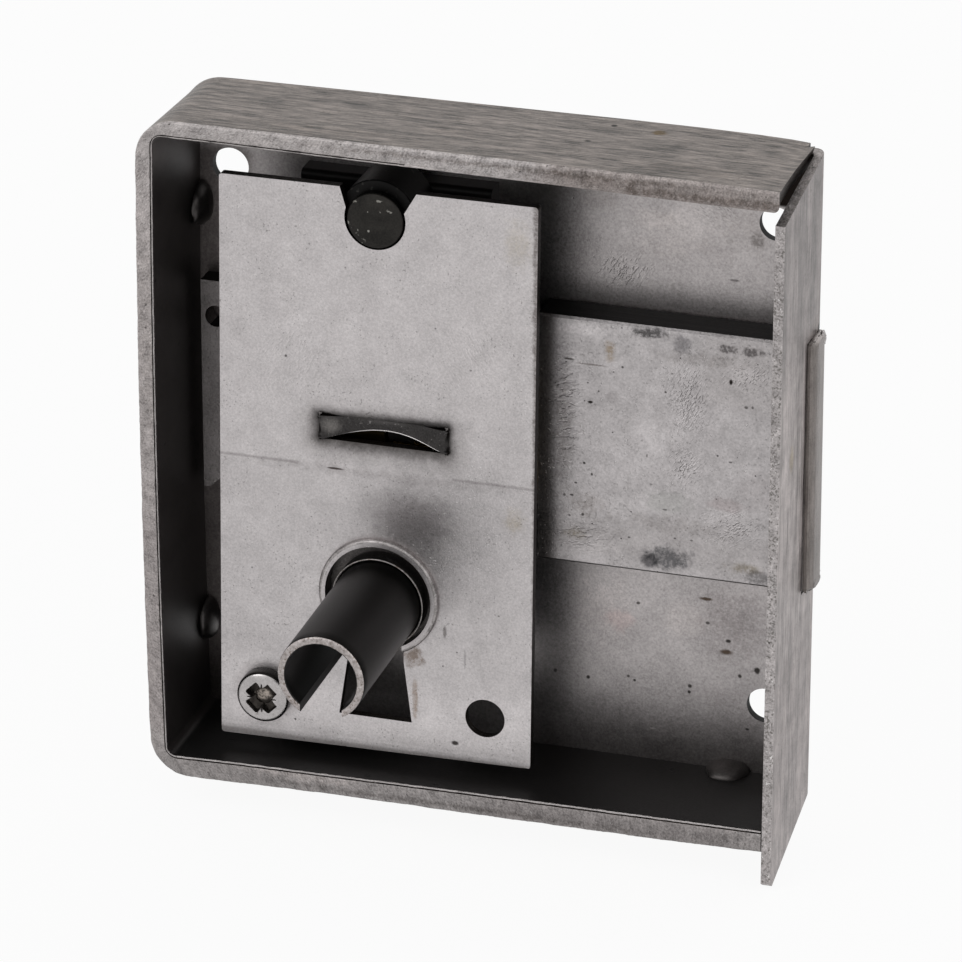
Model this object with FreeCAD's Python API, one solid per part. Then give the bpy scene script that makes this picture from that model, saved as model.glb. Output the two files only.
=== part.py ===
import FreeCAD, Part
import math
import os
from FreeCAD import Vector

# Rim lock for a cupboard or cabinet door: an open case with its bolt, lever pack and key pipe.
# Lengths are millimetres. In the design axes x runs from the closed side wall to the forend,
# z runs up, and y is the depth: 0 at the open side, which lies on the door, growing to the plate.

# Case: a sheet plate folded once into the forend, and a flat bar bent round the other three sides
CASE_WIDTH = 100.0
CASE_HEIGHT = 107.0
CASE_DEPTH = 21.5
SHEET = 1.5
BEND_RADIUS = 2.6
CORNER_RADIUS = 6.2
RIM_BAR = 3.0
RIM_INNER_RADIUS = 1.3
RIM_BOW = 0.6
RIM_END_GAP = 0.2
RIM_END_ROUND = 0.9
RIM_END_EASE = 0.7

# Forend: its ends slope, so it stands past the rim at the lower front corner
FOREND_TOP_BACK = 0.6
FOREND_TOP_FRONT = 4.6
FOREND_FOOT_BACK = 1.9
FOREND_FOOT_FRONT = 6.2
FOREND_TIP_CHAMFER = 0.9

# Fixing holes through the plate, one near each corner
FIX_HOLE = 5.5
FIX_INSET_LEFT = 7.65
FIX_INSET_RIGHT = 6.95
FIX_INSET_FOOT = 14.6
FIX_INSET_TOP = 13.8

# Bolt: a thick head guided by the forend and a thinner slotted tail
BOLT_HEAD_FOOT = 37.6
BOLT_HEAD_HEIGHT = 40.2
BOLT_HEAD_THICK = 6.5
BOLT_HEAD_CLEAR = 2.5
BOLT_PROUD = 1.1
BOLT_EDGE = 0.35
BOLT_BURR_PROUD = 0.45
BOLT_BURR_SPAN = 5.4
BOLT_BURR_HEIGHT = 1.6
BOLT_THROW = 14.0
BOLT_TAIL_THICK = 3.4
BOLT_TAIL_END = 3.8
BOLT_TAIL_FOOT = 42.8
BOLT_TAIL_TOP = 75.3
BOLT_TOE_DROP = 1.8
BOLT_TOE_WIDTH = 1.0
BOLT_TAIL_HOLE = 3.5
BOLT_TAIL_HOLE_INSET = 2.4
BOLT_TAIL_HOLE_DROP = 5.8
TALON_WIDTH = 5.2
TALON_FLARE = 1.6
TALON_DEPTH = 5.6
STUMP_X = 38.0
STUMP_LENGTH = 4.2
STUMP_HEIGHT = 5.0
STUMP_EDGE = 0.5

# Cover plate over the levers, with its notch, bridge, collar and key cut-out
COVER_LEFT = 10.3
COVER_FOOT = 5.0
COVER_WIDTH = 49.9
COVER_HEIGHT = 92.4
COVER_CORNER = 0.5
NOTCH_RADIUS = 4.8
NOTCH_DROP = 4.7
NOTCH_NECK_ANGLE = 18.0
NOTCH_MOUTH = 12.0
BRIDGE_LEFT = 26.0
BRIDGE_WIDTH = 20.5
BRIDGE_FOOT = 56.0
BRIDGE_HEIGHT = 4.1
BRIDGE_STRIP = 3.7
BRIDGE_WAIST = 1.4
BRIDGE_WAIST_INSET = 1.0
BRIDGE_RISE = 2.1
BRIDGE_EASE = 4.0
COLLAR_BORE = 16.9
COLLAR_WALL = 1.1
COLLAR_RISE = 1.0
COLLAR_SHIFT_Z = 0.7
BIT_SLOT_TOP = 7.6
BIT_SLOT_FOOT = 10.1
BIT_SLOT_REACH = 20.0
SPARE_HOLE = 6.3
SPARE_HOLE_INSET = 7.8
SPARE_HOLE_RISE = 8.0

# Key pipe: a rolled tube with one slit, in a sleeve with the curtain disc
PIPE_X = 35.6
PIPE_Z = 30.6
PIPE_DIAMETER = 13.6
PIPE_WALL = 1.25
PIPE_SLIT = 6.6
PIPE_REACH = 22.5
PIPE_BEARING_GAP = 0.15
PIPE_END_GAP = 0.2
SLEEVE_DIAMETER = 14.6
SLEEVE_PROUD = 1.3
CURTAIN_DIAMETER = 24.0
CURTAIN_THICK = 1.2
THRUST_DIAMETER = 19.0
THRUST_THICK = 1.2

# Levers: thin plates on a common pivot, each with two pockets joined by a gate
LEVER_COUNT = 4
LEVER_THICK = 1.3
LEVER_GAP = 0.3
LEVER_FULL_LIFT = (12.0, 11.0, 12.5, 11.5)
LEVER_BORE_GAP = 0.15
LEVER_HEEL = 6.2
LEVER_TOP = 9.6
LEVER_TOE_REACH = 32.0
LEVER_TOE_DROP = 12.2
LEVER_BELLY_RADIUS = 14.4
LEVER_BELLY_SPAN = 7.4
LEVER_BELLY_TOP = 47.4
LEVER_CORNER = 1.6
GATE_CLEAR = 0.7
POCKET_SLACK = 3.0
POCKET_CLEAR = 0.6
PIVOT_X = 24.0
PIVOT_Z = 58.0
PIVOT_DIAMETER = 6.0
PIVOT_TENON = 4.4
PIVOT_EASE = 1.0
SPACER_DIAMETER = 9.5

# Posts, pad, screw and springs
POST_X = 35.3
POST_Z = 92.5
POST_TIP = 8.8
POST_DOME = 0.7
POST_DIAMETER = 12.0
POST_TENON = 6.0
PAD_WIDTH = 30.0
PAD_HEIGHT = 11.4
PAD_THICK = 4.0
PAD_RISE = 2.8
PAD_EDGE = 0.9
STUD_X = 17.15
STUD_Z = 12.4
STUD_DIAMETER = 8.0
STUD_TENON = 5.0
STUD_BORE_DEPTH = 10.5
SCREW_DIAMETER = 3.9
SCREW_BORE_GAP = 0.1
SCREW_HEAD = 8.4
SCREW_HEAD_HEIGHT = 2.5
SCREW_HEAD_CROWN = 0.9
SCREW_LENGTH = 10.0
SCREW_RECESS_WIDTH = 4.6
SCREW_RECESS_SLOT = 1.0
SCREW_RECESS_DEPTH = 1.7
SPRING_THICK = 0.35
SPRING_ROOT_X = 8.0
SPRING_ROOT_DEPTH = 2.0
SPRING_TIP_RUN = 3.0
SEAT_GAP = 0.3
TENON_FLARE = 1.5

# Beads of weld that join the rim bar to the plate
WELD_LENGTH = 7.0
WELD_WALL_LEG = 4.4
WELD_PLATE_LEG = 1.8
WELD_LEFT_Z = (17.2, 86.6)
WELD_FOOT_X = (24.0, 87.2)
WELD_TOP_X = (24.0, 76.0)

# Places that follow from the sizes above
PLATE_FACE = CASE_DEPTH - SHEET
FOREND_FACE = CASE_WIDTH - SHEET
FIX_SPACING_X = CASE_WIDTH - FIX_INSET_LEFT - FIX_INSET_RIGHT
FIX_SPACING_Z = CASE_HEIGHT - FIX_INSET_FOOT - FIX_INSET_TOP
BOLT_BACK = PLATE_FACE - SEAT_GAP
BOLT_HEAD_FRONT = BOLT_BACK - BOLT_HEAD_THICK
BOLT_HEAD_REAR = PIVOT_X + LEVER_TOE_REACH + BOLT_HEAD_CLEAR
BOLT_TAIL_FRONT = BOLT_BACK - BOLT_TAIL_THICK
LEVER_PITCH = LEVER_THICK + LEVER_GAP
PACK_FRONT = BOLT_TAIL_FRONT - LEVER_COUNT * LEVER_PITCH
COVER_BACK = PACK_FRONT - SEAT_GAP - BRIDGE_RISE
COVER_DEPTH = COVER_BACK - SHEET
COVER_TOP = COVER_FOOT + COVER_HEIGHT
COLLAR_Z = PIPE_Z + COLLAR_SHIFT_Z
ORIGIN = Vector(FIX_INSET_LEFT + FIX_SPACING_X / 2, CASE_DEPTH, FIX_INSET_FOOT + FIX_SPACING_Z / 2)

# Working margins: how near counts as touching, and how far a cutter runs past the cut
NEAR = 0.01
OVERRUN = 1.0


def face_from(points):
    """A flat face bounded by straight edges through the points."""
    return Part.Face(Part.makePolygon(points + [points[0]]))


def prism_xz(outline, start, end):
    """A prism of an outline given as (x, z) pairs, between two depths."""
    face = face_from([Vector(x, start, z) for x, z in outline])
    return face.extrude(Vector(0, end - start, 0))


def rod(x, z, diameter, start, end):
    """A round rod along the depth axis, between two depths."""
    return Part.makeCylinder(diameter / 2, end - start, Vector(x, start, z), Vector(0, 1, 0))


def cone(x, z, first, last, start, end):
    """A tapered rod along the depth axis with its first and last diameters."""
    return Part.makeCone(first / 2, last / 2, end - start, Vector(x, start, z), Vector(0, 1, 0))


def block(left, right, start, end, foot, top):
    """An upright box between two x, two depths and two heights."""
    return Part.makeBox(right - left, end - start, top - foot, Vector(left, start, foot))


def bow_at(z):
    """How far the bowed left wall stands out of its chord at a height."""
    half = CASE_HEIGHT / 2
    radius = (half ** 2 + RIM_BOW ** 2) / (2 * RIM_BOW)
    return math.sqrt(radius ** 2 - (z - half) ** 2) - (radius - RIM_BOW)


def bowed_block(left, right, start, end, foot, top):
    """A block between two depths whose left side follows the bow of the left wall."""
    middle = (foot + top) / 2
    base = bow_at(foot)

    def at(x, z):
        return Vector(x, start, z)

    outline = Part.Wire([
        Part.Arc(at(left - base, foot), at(left - bow_at(middle), middle),
                 at(left - base, top)).toShape(),
        Part.LineSegment(at(left - base, top), at(right, top)).toShape(),
        Part.LineSegment(at(right, top), at(right, foot)).toShape(),
        Part.LineSegment(at(right, foot), at(left - base, foot)).toShape(),
    ])
    return Part.Face(outline).extrude(Vector(0, end - start, 0))


def edges_along(shape, direction, test):
    """The straight edges of a shape that run along a direction and pass a test on their middle."""
    found = []
    for edge in shape.Edges:
        if not isinstance(edge.Curve, Part.Line):
            continue
        if abs(abs(edge.Curve.Direction.dot(direction)) - 1) > 0.001:
            continue
        if test(edge.CenterOfMass):
            found.append(edge)
    return found


def tenon(x, z, diameter, start):
    """A riveted tenon: straight through the plate, then flared flush with its outer face."""
    straight = rod(x, z, diameter, start, CASE_DEPTH)
    flare_start = CASE_DEPTH - TENON_FLARE / 2
    return straight.fuse(cone(x, z, diameter, diameter + TENON_FLARE, flare_start, CASE_DEPTH))


def case_plate():
    """Back plate and forend, folded from one sheet, with the bolt slot and all its holes."""
    inner = BEND_RADIUS - SHEET
    corner = Vector(CASE_WIDTH - BEND_RADIUS, CASE_DEPTH - BEND_RADIUS, 0)
    turn = math.sqrt(0.5)
    low = -FOREND_FOOT_FRONT - OVERRUN

    def at(x, y):
        return Vector(x, y, low)

    outer_mid = at(corner.x + BEND_RADIUS * turn, corner.y + BEND_RADIUS * turn)
    inner_mid = at(corner.x + inner * turn, corner.y + inner * turn)
    section = Part.Wire([
        Part.LineSegment(at(-RIM_BOW, PLATE_FACE), at(corner.x, PLATE_FACE)).toShape(),
        Part.Arc(at(corner.x, PLATE_FACE), inner_mid, at(FOREND_FACE, corner.y)).toShape(),
        Part.LineSegment(at(FOREND_FACE, corner.y), at(FOREND_FACE, 0)).toShape(),
        Part.LineSegment(at(FOREND_FACE, 0), at(CASE_WIDTH, 0)).toShape(),
        Part.LineSegment(at(CASE_WIDTH, 0), at(CASE_WIDTH, corner.y)).toShape(),
        Part.Arc(at(CASE_WIDTH, corner.y), outer_mid, at(corner.x, CASE_DEPTH)).toShape(),
        Part.LineSegment(at(corner.x, CASE_DEPTH), at(-RIM_BOW, CASE_DEPTH)).toShape(),
        Part.LineSegment(at(-RIM_BOW, CASE_DEPTH), at(-RIM_BOW, PLATE_FACE)).toShape(),
    ])
    folded = Part.Face(section).extrude(Vector(0, 0, CASE_HEIGHT - low))

    plate_blank = bowed_block(0, corner.x, PLATE_FACE - OVERRUN, CASE_DEPTH, 0, CASE_HEIGHT)
    rounded = edges_along(plate_blank, Vector(0, 1, 0), lambda p: p.x < NEAR)
    plate_blank = plate_blank.makeFillet(CORNER_RADIUS, rounded)
    profile = face_from([
        Vector(corner.x, CASE_DEPTH, FOREND_FOOT_BACK),
        Vector(corner.x, FOREND_TIP_CHAMFER, -FOREND_FOOT_FRONT + FOREND_TIP_CHAMFER / 3),
        Vector(corner.x, 0, -FOREND_FOOT_FRONT + FOREND_TIP_CHAMFER),
        Vector(corner.x, 0, CASE_HEIGHT - FOREND_TOP_FRONT),
        Vector(corner.x, CASE_DEPTH, CASE_HEIGHT - FOREND_TOP_BACK),
    ])
    forend_blank = profile.extrude(Vector(BEND_RADIUS, 0, 0))
    plate = folded.common(plate_blank.fuse(forend_blank))

    plate = plate.cut(bolt_slot())
    for row in range(2):
        for column in range(2):
            x = FIX_INSET_LEFT + column * FIX_SPACING_X
            z = FIX_INSET_FOOT + row * FIX_SPACING_Z
            plate = plate.cut(rod(x, z, FIX_HOLE, PLATE_FACE, CASE_DEPTH))
    bearing = PIPE_DIAMETER + 2 * PIPE_BEARING_GAP
    plate = plate.cut(rod(PIPE_X, PIPE_Z, bearing, PLATE_FACE, CASE_DEPTH))
    for x, z, diameter in ((PIVOT_X, PIVOT_Z, PIVOT_TENON), (POST_X, POST_Z, POST_TENON),
                           (STUD_X, STUD_Z, STUD_TENON)):
        plate = plate.cut(tenon(x, z, diameter, PLATE_FACE))
    return plate.removeSplitter()


def bolt_slot():
    """The space of the slot that guides the bolt head through the forend."""
    head_top = BOLT_HEAD_FOOT + BOLT_HEAD_HEIGHT
    return block(CASE_WIDTH - BEND_RADIUS, CASE_WIDTH, BOLT_HEAD_FRONT - SEAT_GAP, PLATE_FACE,
                 BOLT_HEAD_FOOT - SEAT_GAP, head_top + SEAT_GAP)


def rim_strip():
    """Flat bar bent round three sides, with a bowed left wall; its ends clear the bend."""
    bar_end = FOREND_FACE - RIM_END_GAP
    outer = bowed_block(0, bar_end, 0, PLATE_FACE, 0, CASE_HEIGHT)
    outer = outer.makeFillet(CORNER_RADIUS,
                             edges_along(outer, Vector(0, 1, 0), lambda p: p.x < NEAR))
    inner = bowed_block(RIM_BAR, CASE_WIDTH, -OVERRUN, CASE_DEPTH, RIM_BAR, CASE_HEIGHT - RIM_BAR)
    inner = inner.makeFillet(RIM_INNER_RADIUS,
                             edges_along(inner, Vector(0, 1, 0), lambda p: p.x < RIM_BAR + NEAR))
    bar = outer.cut(inner)
    rear_ends = edges_along(bar, Vector(0, 0, 1),
                            lambda p: p.x > bar_end - NEAR and p.y > PLATE_FACE - NEAR)
    bar = bar.makeChamfer(RIM_END_EASE, rear_ends)
    lip = CASE_HEIGHT - RIM_BAR
    lips = edges_along(bar, Vector(0, 1, 0),
                       lambda p: p.x > bar_end - NEAR and abs(p.z - lip) < NEAR)
    return bar.makeFillet(RIM_END_ROUND, lips)


def rim_welds():
    """The beads along the left, lower and upper walls, as one group of separate solids."""
    depth = PLATE_FACE
    beads = []
    radius = ((CASE_HEIGHT / 2) ** 2 + RIM_BOW ** 2) / (2 * RIM_BOW)
    for z in WELD_LEFT_Z:
        lean = (CASE_HEIGHT / 2 - z) / radius
        run = Vector(-lean, 0, 1).normalize()
        beads.append(corner_bead(Vector(RIM_BAR - bow_at(z), depth, z), run,
                                 Vector(run.z, 0, -run.x)))
    for x in WELD_FOOT_X:
        beads.append(corner_bead(Vector(x, depth, RIM_BAR), Vector(1, 0, 0), Vector(0, 0, 1)))
    for x in WELD_TOP_X:
        top = CASE_HEIGHT - RIM_BAR
        beads.append(corner_bead(Vector(x, depth, top), Vector(1, 0, 0), Vector(0, 0, -1)))
    return Part.makeCompound(beads)


def corner_bead(corner, run, away):
    """A bead in the corner of wall and plate: a quarter of an egg, longest along the run."""
    ball = Part.makeSphere(1)
    quarter = ball.common(Part.makeBox(1, 1, 2, Vector(0, 0, -1))).Solids[0]
    stretch = FreeCAD.Matrix()
    stretch.scale(WELD_PLATE_LEG, WELD_WALL_LEG, WELD_LENGTH / 2)
    turn = FreeCAD.Matrix(away.x, 0, run.x, 0, away.y, -1, run.y, 0, away.z, 0, run.z, 0,
                          0, 0, 0, 1)
    return quarter.transformGeometry(turn * stretch).translated(corner)


def cover_plate():
    """Flat plate over the levers: notched at the top, lanced, collared and pierced."""
    right = COVER_LEFT + COVER_WIDTH
    plate = block(COVER_LEFT, right, COVER_DEPTH, COVER_BACK, COVER_FOOT, COVER_TOP)
    plate = plate.makeFillet(COVER_CORNER, edges_along(plate, Vector(0, 1, 0), lambda p: True))
    plate = plate.cut(cover_notch())
    plate = lance_bridge(plate)
    ring = COLLAR_BORE + 2 * COLLAR_WALL
    plate = plate.fuse(rod(PIPE_X, COLLAR_Z, ring, COVER_DEPTH - COLLAR_RISE, COVER_DEPTH))
    lip = [e for e in plate.Edges if isinstance(e.Curve, Part.Circle)
           and abs(e.CenterOfMass.y - COVER_DEPTH + COLLAR_RISE) < NEAR]
    plate = plate.makeFillet(COLLAR_RISE / 2, lip)
    plate = plate.cut(rod(PIPE_X, COLLAR_Z, COLLAR_BORE, COVER_DEPTH - COLLAR_RISE, COVER_BACK))
    plate = plate.cut(bit_slot())
    plate = plate.cut(rod(right - SPARE_HOLE_INSET, COVER_FOOT + SPARE_HOLE_RISE, SPARE_HOLE,
                          COVER_DEPTH, COVER_BACK))
    screw_hole = SCREW_DIAMETER + 4 * SCREW_BORE_GAP
    plate = plate.cut(rod(STUD_X, STUD_Z, screw_hole, COVER_DEPTH, COVER_BACK))
    return plate.removeSplitter()


def cover_notch():
    """The space of the notch that drops over the tip of the locating post."""
    centre = COVER_TOP - NOTCH_DROP
    neck = math.radians(NOTCH_NECK_ANGLE)
    half_neck = NOTCH_RADIUS * math.cos(neck)
    shoulder = centre + NOTCH_RADIUS * math.sin(neck)
    mouth = prism_xz([(POST_X - half_neck, shoulder), (POST_X + half_neck, shoulder),
                      (POST_X + NOTCH_MOUTH / 2, COVER_TOP), (POST_X - NOTCH_MOUTH / 2, COVER_TOP)],
                     COVER_DEPTH, COVER_BACK)
    return mouth.fuse(rod(POST_X, centre, 2 * NOTCH_RADIUS, COVER_DEPTH, COVER_BACK))


def bit_slot():
    """The space that lets the key bit through below the collar, wider at its foot."""
    foot = PIPE_Z - BIT_SLOT_REACH
    return prism_xz([(PIPE_X - BIT_SLOT_TOP / 2, COLLAR_Z), (PIPE_X + BIT_SLOT_TOP / 2, COLLAR_Z),
                     (PIPE_X + BIT_SLOT_TOP / 2, foot + BIT_SLOT_REACH / 2),
                     (PIPE_X + BIT_SLOT_FOOT / 2, foot), (PIPE_X - BIT_SLOT_FOOT / 2, foot),
                     (PIPE_X - BIT_SLOT_TOP / 2, foot + BIT_SLOT_REACH / 2)],
                    COVER_DEPTH - COLLAR_RISE, COVER_BACK)


def lance_bridge(plate):
    """Slit the plate twice and press the waisted strip between the slits back to the levers."""
    right = BRIDGE_LEFT + BRIDGE_WIDTH
    window = block(BRIDGE_LEFT, right, COVER_DEPTH, COVER_BACK, BRIDGE_FOOT,
                   BRIDGE_FOOT + BRIDGE_HEIGHT)
    window = window.makeFillet(COVER_CORNER, edges_along(window, Vector(0, 1, 0), lambda p: True))
    foot = BRIDGE_FOOT + (BRIDGE_HEIGHT - BRIDGE_STRIP) / 2
    # A Bezier bow with two raised poles out of six reaches twenty thirty-seconds of their height
    pull = BRIDGE_RISE * 32 / 20
    outline = []
    for face in (COVER_DEPTH, COVER_BACK):
        curve = Part.BezierCurve()
        curve.setPoles([Vector(BRIDGE_LEFT, face, foot),
                        Vector(BRIDGE_LEFT + BRIDGE_EASE, face, foot),
                        Vector(BRIDGE_LEFT + 2 * BRIDGE_EASE, face + pull, foot),
                        Vector(right - 2 * BRIDGE_EASE, face + pull, foot),
                        Vector(right - BRIDGE_EASE, face, foot),
                        Vector(right, face, foot)])
        outline.append(curve.toShape())
    ends = [Part.LineSegment(Vector(x, COVER_DEPTH, foot), Vector(x, COVER_BACK, foot)).toShape()
            for x in (BRIDGE_LEFT, right)]
    strip = Part.Face(Part.Wire(Part.__sortEdges__(outline + ends)))
    strip = strip.extrude(Vector(0, 0, BRIDGE_STRIP))
    half = BRIDGE_WIDTH / 2 - BRIDGE_WAIST_INSET
    radius = (half ** 2 + BRIDGE_WAIST ** 2) / (2 * BRIDGE_WAIST)
    hollow = rod((BRIDGE_LEFT + right) / 2, foot + BRIDGE_WAIST - radius, 2 * radius,
                 COVER_DEPTH - OVERRUN, COVER_BACK + BRIDGE_RISE + OVERRUN)
    return plate.cut(window).fuse(strip.cut(hollow))


def bolt():
    """Bolt head and tail in one, with guide slot, talon, toe and an unused hole."""
    head_end = CASE_WIDTH + BOLT_PROUD
    head = block(BOLT_HEAD_REAR, head_end, BOLT_HEAD_FRONT, BOLT_BACK, BOLT_HEAD_FOOT,
                 BOLT_HEAD_FOOT + BOLT_HEAD_HEIGHT)
    head = head.makeChamfer(BOLT_EDGE, edges_along(head, Vector(1, 0, 0), lambda p: True))
    head_top = BOLT_HEAD_FOOT + BOLT_HEAD_HEIGHT
    for z in (head_top - BOLT_BURR_HEIGHT / 3, BOLT_HEAD_FOOT + BOLT_BURR_HEIGHT / 3):
        head = head.fuse(cut_burr(head_end, z))
    toe = BOLT_TAIL_FOOT - BOLT_TOE_DROP
    root = BOLT_HEAD_REAR + BOLT_TAIL_THICK
    tail = prism_xz([(BOLT_TAIL_END, toe), (BOLT_TAIL_END + BOLT_TOE_WIDTH, toe),
                     (BOLT_TAIL_END + BOLT_TOE_WIDTH + BOLT_TOE_DROP, BOLT_TAIL_FOOT),
                     (root, BOLT_TAIL_FOOT), (root, BOLT_TAIL_TOP),
                     (BOLT_TAIL_END, BOLT_TAIL_TOP)],
                    BOLT_TAIL_FRONT, BOLT_BACK)
    talon_x = PIPE_X - BOLT_THROW / 2
    talon_top = BOLT_TAIL_FOOT + TALON_DEPTH
    half = TALON_WIDTH / 2
    talon = prism_xz([(talon_x - half - TALON_FLARE, BOLT_TAIL_FOOT),
                      (talon_x + half + TALON_FLARE, BOLT_TAIL_FOOT),
                      (talon_x + half, talon_top), (talon_x - half, talon_top)],
                     BOLT_TAIL_FRONT, BOLT_BACK)
    talon = talon.makeFillet(TALON_WIDTH / 4,
                             edges_along(talon, Vector(0, 1, 0), lambda p: p.z > talon_top - NEAR))
    slot = slot_space(PIVOT_X - BOLT_THROW, PIVOT_X, PIVOT_Z, PIVOT_DIAMETER + SEAT_GAP)
    hole = rod(BOLT_TAIL_END + BOLT_TAIL_HOLE_INSET, BOLT_TAIL_TOP - BOLT_TAIL_HOLE_DROP,
               BOLT_TAIL_HOLE, BOLT_TAIL_FRONT, BOLT_BACK)
    seat = stump_space(STUMP_X, PIVOT_Z, BOLT_TAIL_FRONT, BOLT_BACK)
    return head.fuse(tail).cut(talon.fuse([slot, hole, seat])).removeSplitter()


def cut_burr(end, z):
    """A rounded burr across the thickness of the bolt, left on its end where it was cut off."""
    ball = Part.makeSphere(1)
    stretch = FreeCAD.Matrix()
    stretch.scale(2 * BOLT_BURR_PROUD, BOLT_BURR_SPAN / 2, BOLT_BURR_HEIGHT / 2)
    middle = (BOLT_HEAD_FRONT + BOLT_BACK) / 2
    return ball.transformGeometry(stretch).translated(Vector(end - BOLT_BURR_PROUD, middle, z))


def slot_space(first, last, z, width):
    """A round-ended slot through the bolt tail between two centres."""
    bar = block(first, last, BOLT_TAIL_FRONT, BOLT_BACK, z - width / 2, z + width / 2)
    ends = [rod(x, z, width, BOLT_TAIL_FRONT, BOLT_BACK) for x in (first, last)]
    return bar.fuse(ends)


def stump_space(x, z, start, end):
    """The square stud of the bolt between two depths, with eased corners."""
    stud = block(x - STUMP_LENGTH / 2, x + STUMP_LENGTH / 2, start, end, z - STUMP_HEIGHT / 2,
                 z + STUMP_HEIGHT / 2)
    return stud.makeFillet(STUMP_EDGE, edges_along(stud, Vector(0, 1, 0), lambda p: True))


def bolt_stump():
    """Stump riveted in the bolt tail, standing through the gates of all the levers."""
    return stump_space(STUMP_X, PIVOT_Z, PACK_FRONT, BOLT_BACK)


def lever_front(index):
    """Depth of the front face of one lever, counted from the cover."""
    return PACK_FRONT + index * LEVER_PITCH


def stump_in_lever(slide, full_lift):
    """Stump centre as seen from a lever that lifts evenly over the bolt's throw."""
    reach = STUMP_X + slide - PIVOT_X
    lift = math.radians(full_lift) * slide / BOLT_THROW
    return Vector(PIVOT_X + reach * math.cos(lift), 0, PIVOT_Z - reach * math.sin(lift))


def curved_gate(full_lift, start, end):
    """The gate: a slot of even width along the stump's path through the lever."""
    places = [stump_in_lever(share * BOLT_THROW, full_lift) for share in (0, 0.5, 1)]
    centre = Part.Arc(*places).toShape().Curve.Center
    half = STUMP_HEIGHT / 2 + GATE_CLEAR

    def offset(place, amount):
        ray = place - centre
        return centre + ray * ((ray.Length + amount) / ray.Length)

    outer = Part.Arc(*[offset(p, half) for p in places]).toShape()
    inner = Part.Arc(*[offset(p, -half) for p in places]).toShape()
    caps = [Part.LineSegment(offset(p, half), offset(p, -half)).toShape()
            for p in (places[0], places[2])]
    face = Part.Face(Part.Wire(Part.__sortEdges__([outer, inner] + caps)))
    face.translate(Vector(0, start, 0))
    return face.extrude(Vector(0, end - start, 0))


def lever_window(full_lift, start, end):
    """Both pockets and the gate between them."""
    half_x = STUMP_LENGTH / 2
    half_z = STUMP_HEIGHT / 2 + POCKET_CLEAR
    near = stump_in_lever(BOLT_THROW / 2, full_lift).z
    far = stump_in_lever(BOLT_THROW, full_lift)
    last_x = STUMP_X + BOLT_THROW
    first = block(STUMP_X - half_x - POCKET_CLEAR, STUMP_X + half_x + POCKET_SLACK, start, end,
                  near - STUMP_HEIGHT / 2, PIVOT_Z + half_z)
    second = block(last_x - half_x - POCKET_SLACK, last_x + half_x + POCKET_CLEAR, start, end,
                   far.z - half_z, PIVOT_Z + half_z)
    pockets = [p.makeFillet(STUMP_EDGE, edges_along(p, Vector(0, 1, 0), lambda q: True))
               for p in (first, second)]
    return curved_gate(full_lift, start, end).fuse(pockets)


def lever(index):
    """One lever: heel round the pivot, window, belly that the key bit lifts, and spring seat."""
    full_lift = LEVER_FULL_LIFT[index]
    start = lever_front(index)
    end = start + LEVER_THICK
    toe = PIVOT_X + LEVER_TOE_REACH
    foot = PIVOT_Z - LEVER_TOE_DROP
    top = PIVOT_Z + LEVER_TOP
    body = block(PIVOT_X, toe, start, end, foot, top)
    body = body.makeFillet(LEVER_CORNER,
                           edges_along(body, Vector(0, 1, 0), lambda p: p.x > toe - NEAR))
    heel = rod(PIVOT_X, PIVOT_Z, 2 * LEVER_HEEL, start, end)
    cheek = block(PIVOT_X - LEVER_HEEL, PIVOT_X, start, end, PIVOT_Z, top)
    cheek = cheek.makeFillet(LEVER_CORNER,
                             edges_along(cheek, Vector(0, 1, 0), lambda p: p.x < PIVOT_X - NEAR))
    belly_z = LEVER_BELLY_TOP + belly_step(index) - LEVER_BELLY_RADIUS
    belly = rod(PIPE_X, belly_z, 2 * LEVER_BELLY_RADIUS, start, end)
    left_cut = block(PIVOT_X, PIPE_X - LEVER_BELLY_SPAN, start, end, foot, PIVOT_Z - LEVER_HEEL)
    body = body.fuse([heel, cheek]).cut(belly).cut(left_cut)
    bore = rod(PIVOT_X, PIVOT_Z, PIVOT_DIAMETER + 2 * LEVER_BORE_GAP, start, end)
    window = lever_window(full_lift, start, end)
    groove = block(PIVOT_X + SPRING_ROOT_X, PIVOT_X + SPRING_ROOT_X + SPRING_THICK, start, end,
                   top - SPRING_ROOT_DEPTH, top)
    return body.cut(bore).cut(window).cut(groove).removeSplitter()


def belly_step(index):
    """How much higher the belly of a lever is cut than that of the one that lifts most."""
    most = max(LEVER_FULL_LIFT)
    reach = PIPE_X - PIVOT_X
    return reach * math.radians((most - LEVER_FULL_LIFT[index]) / 2)


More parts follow.
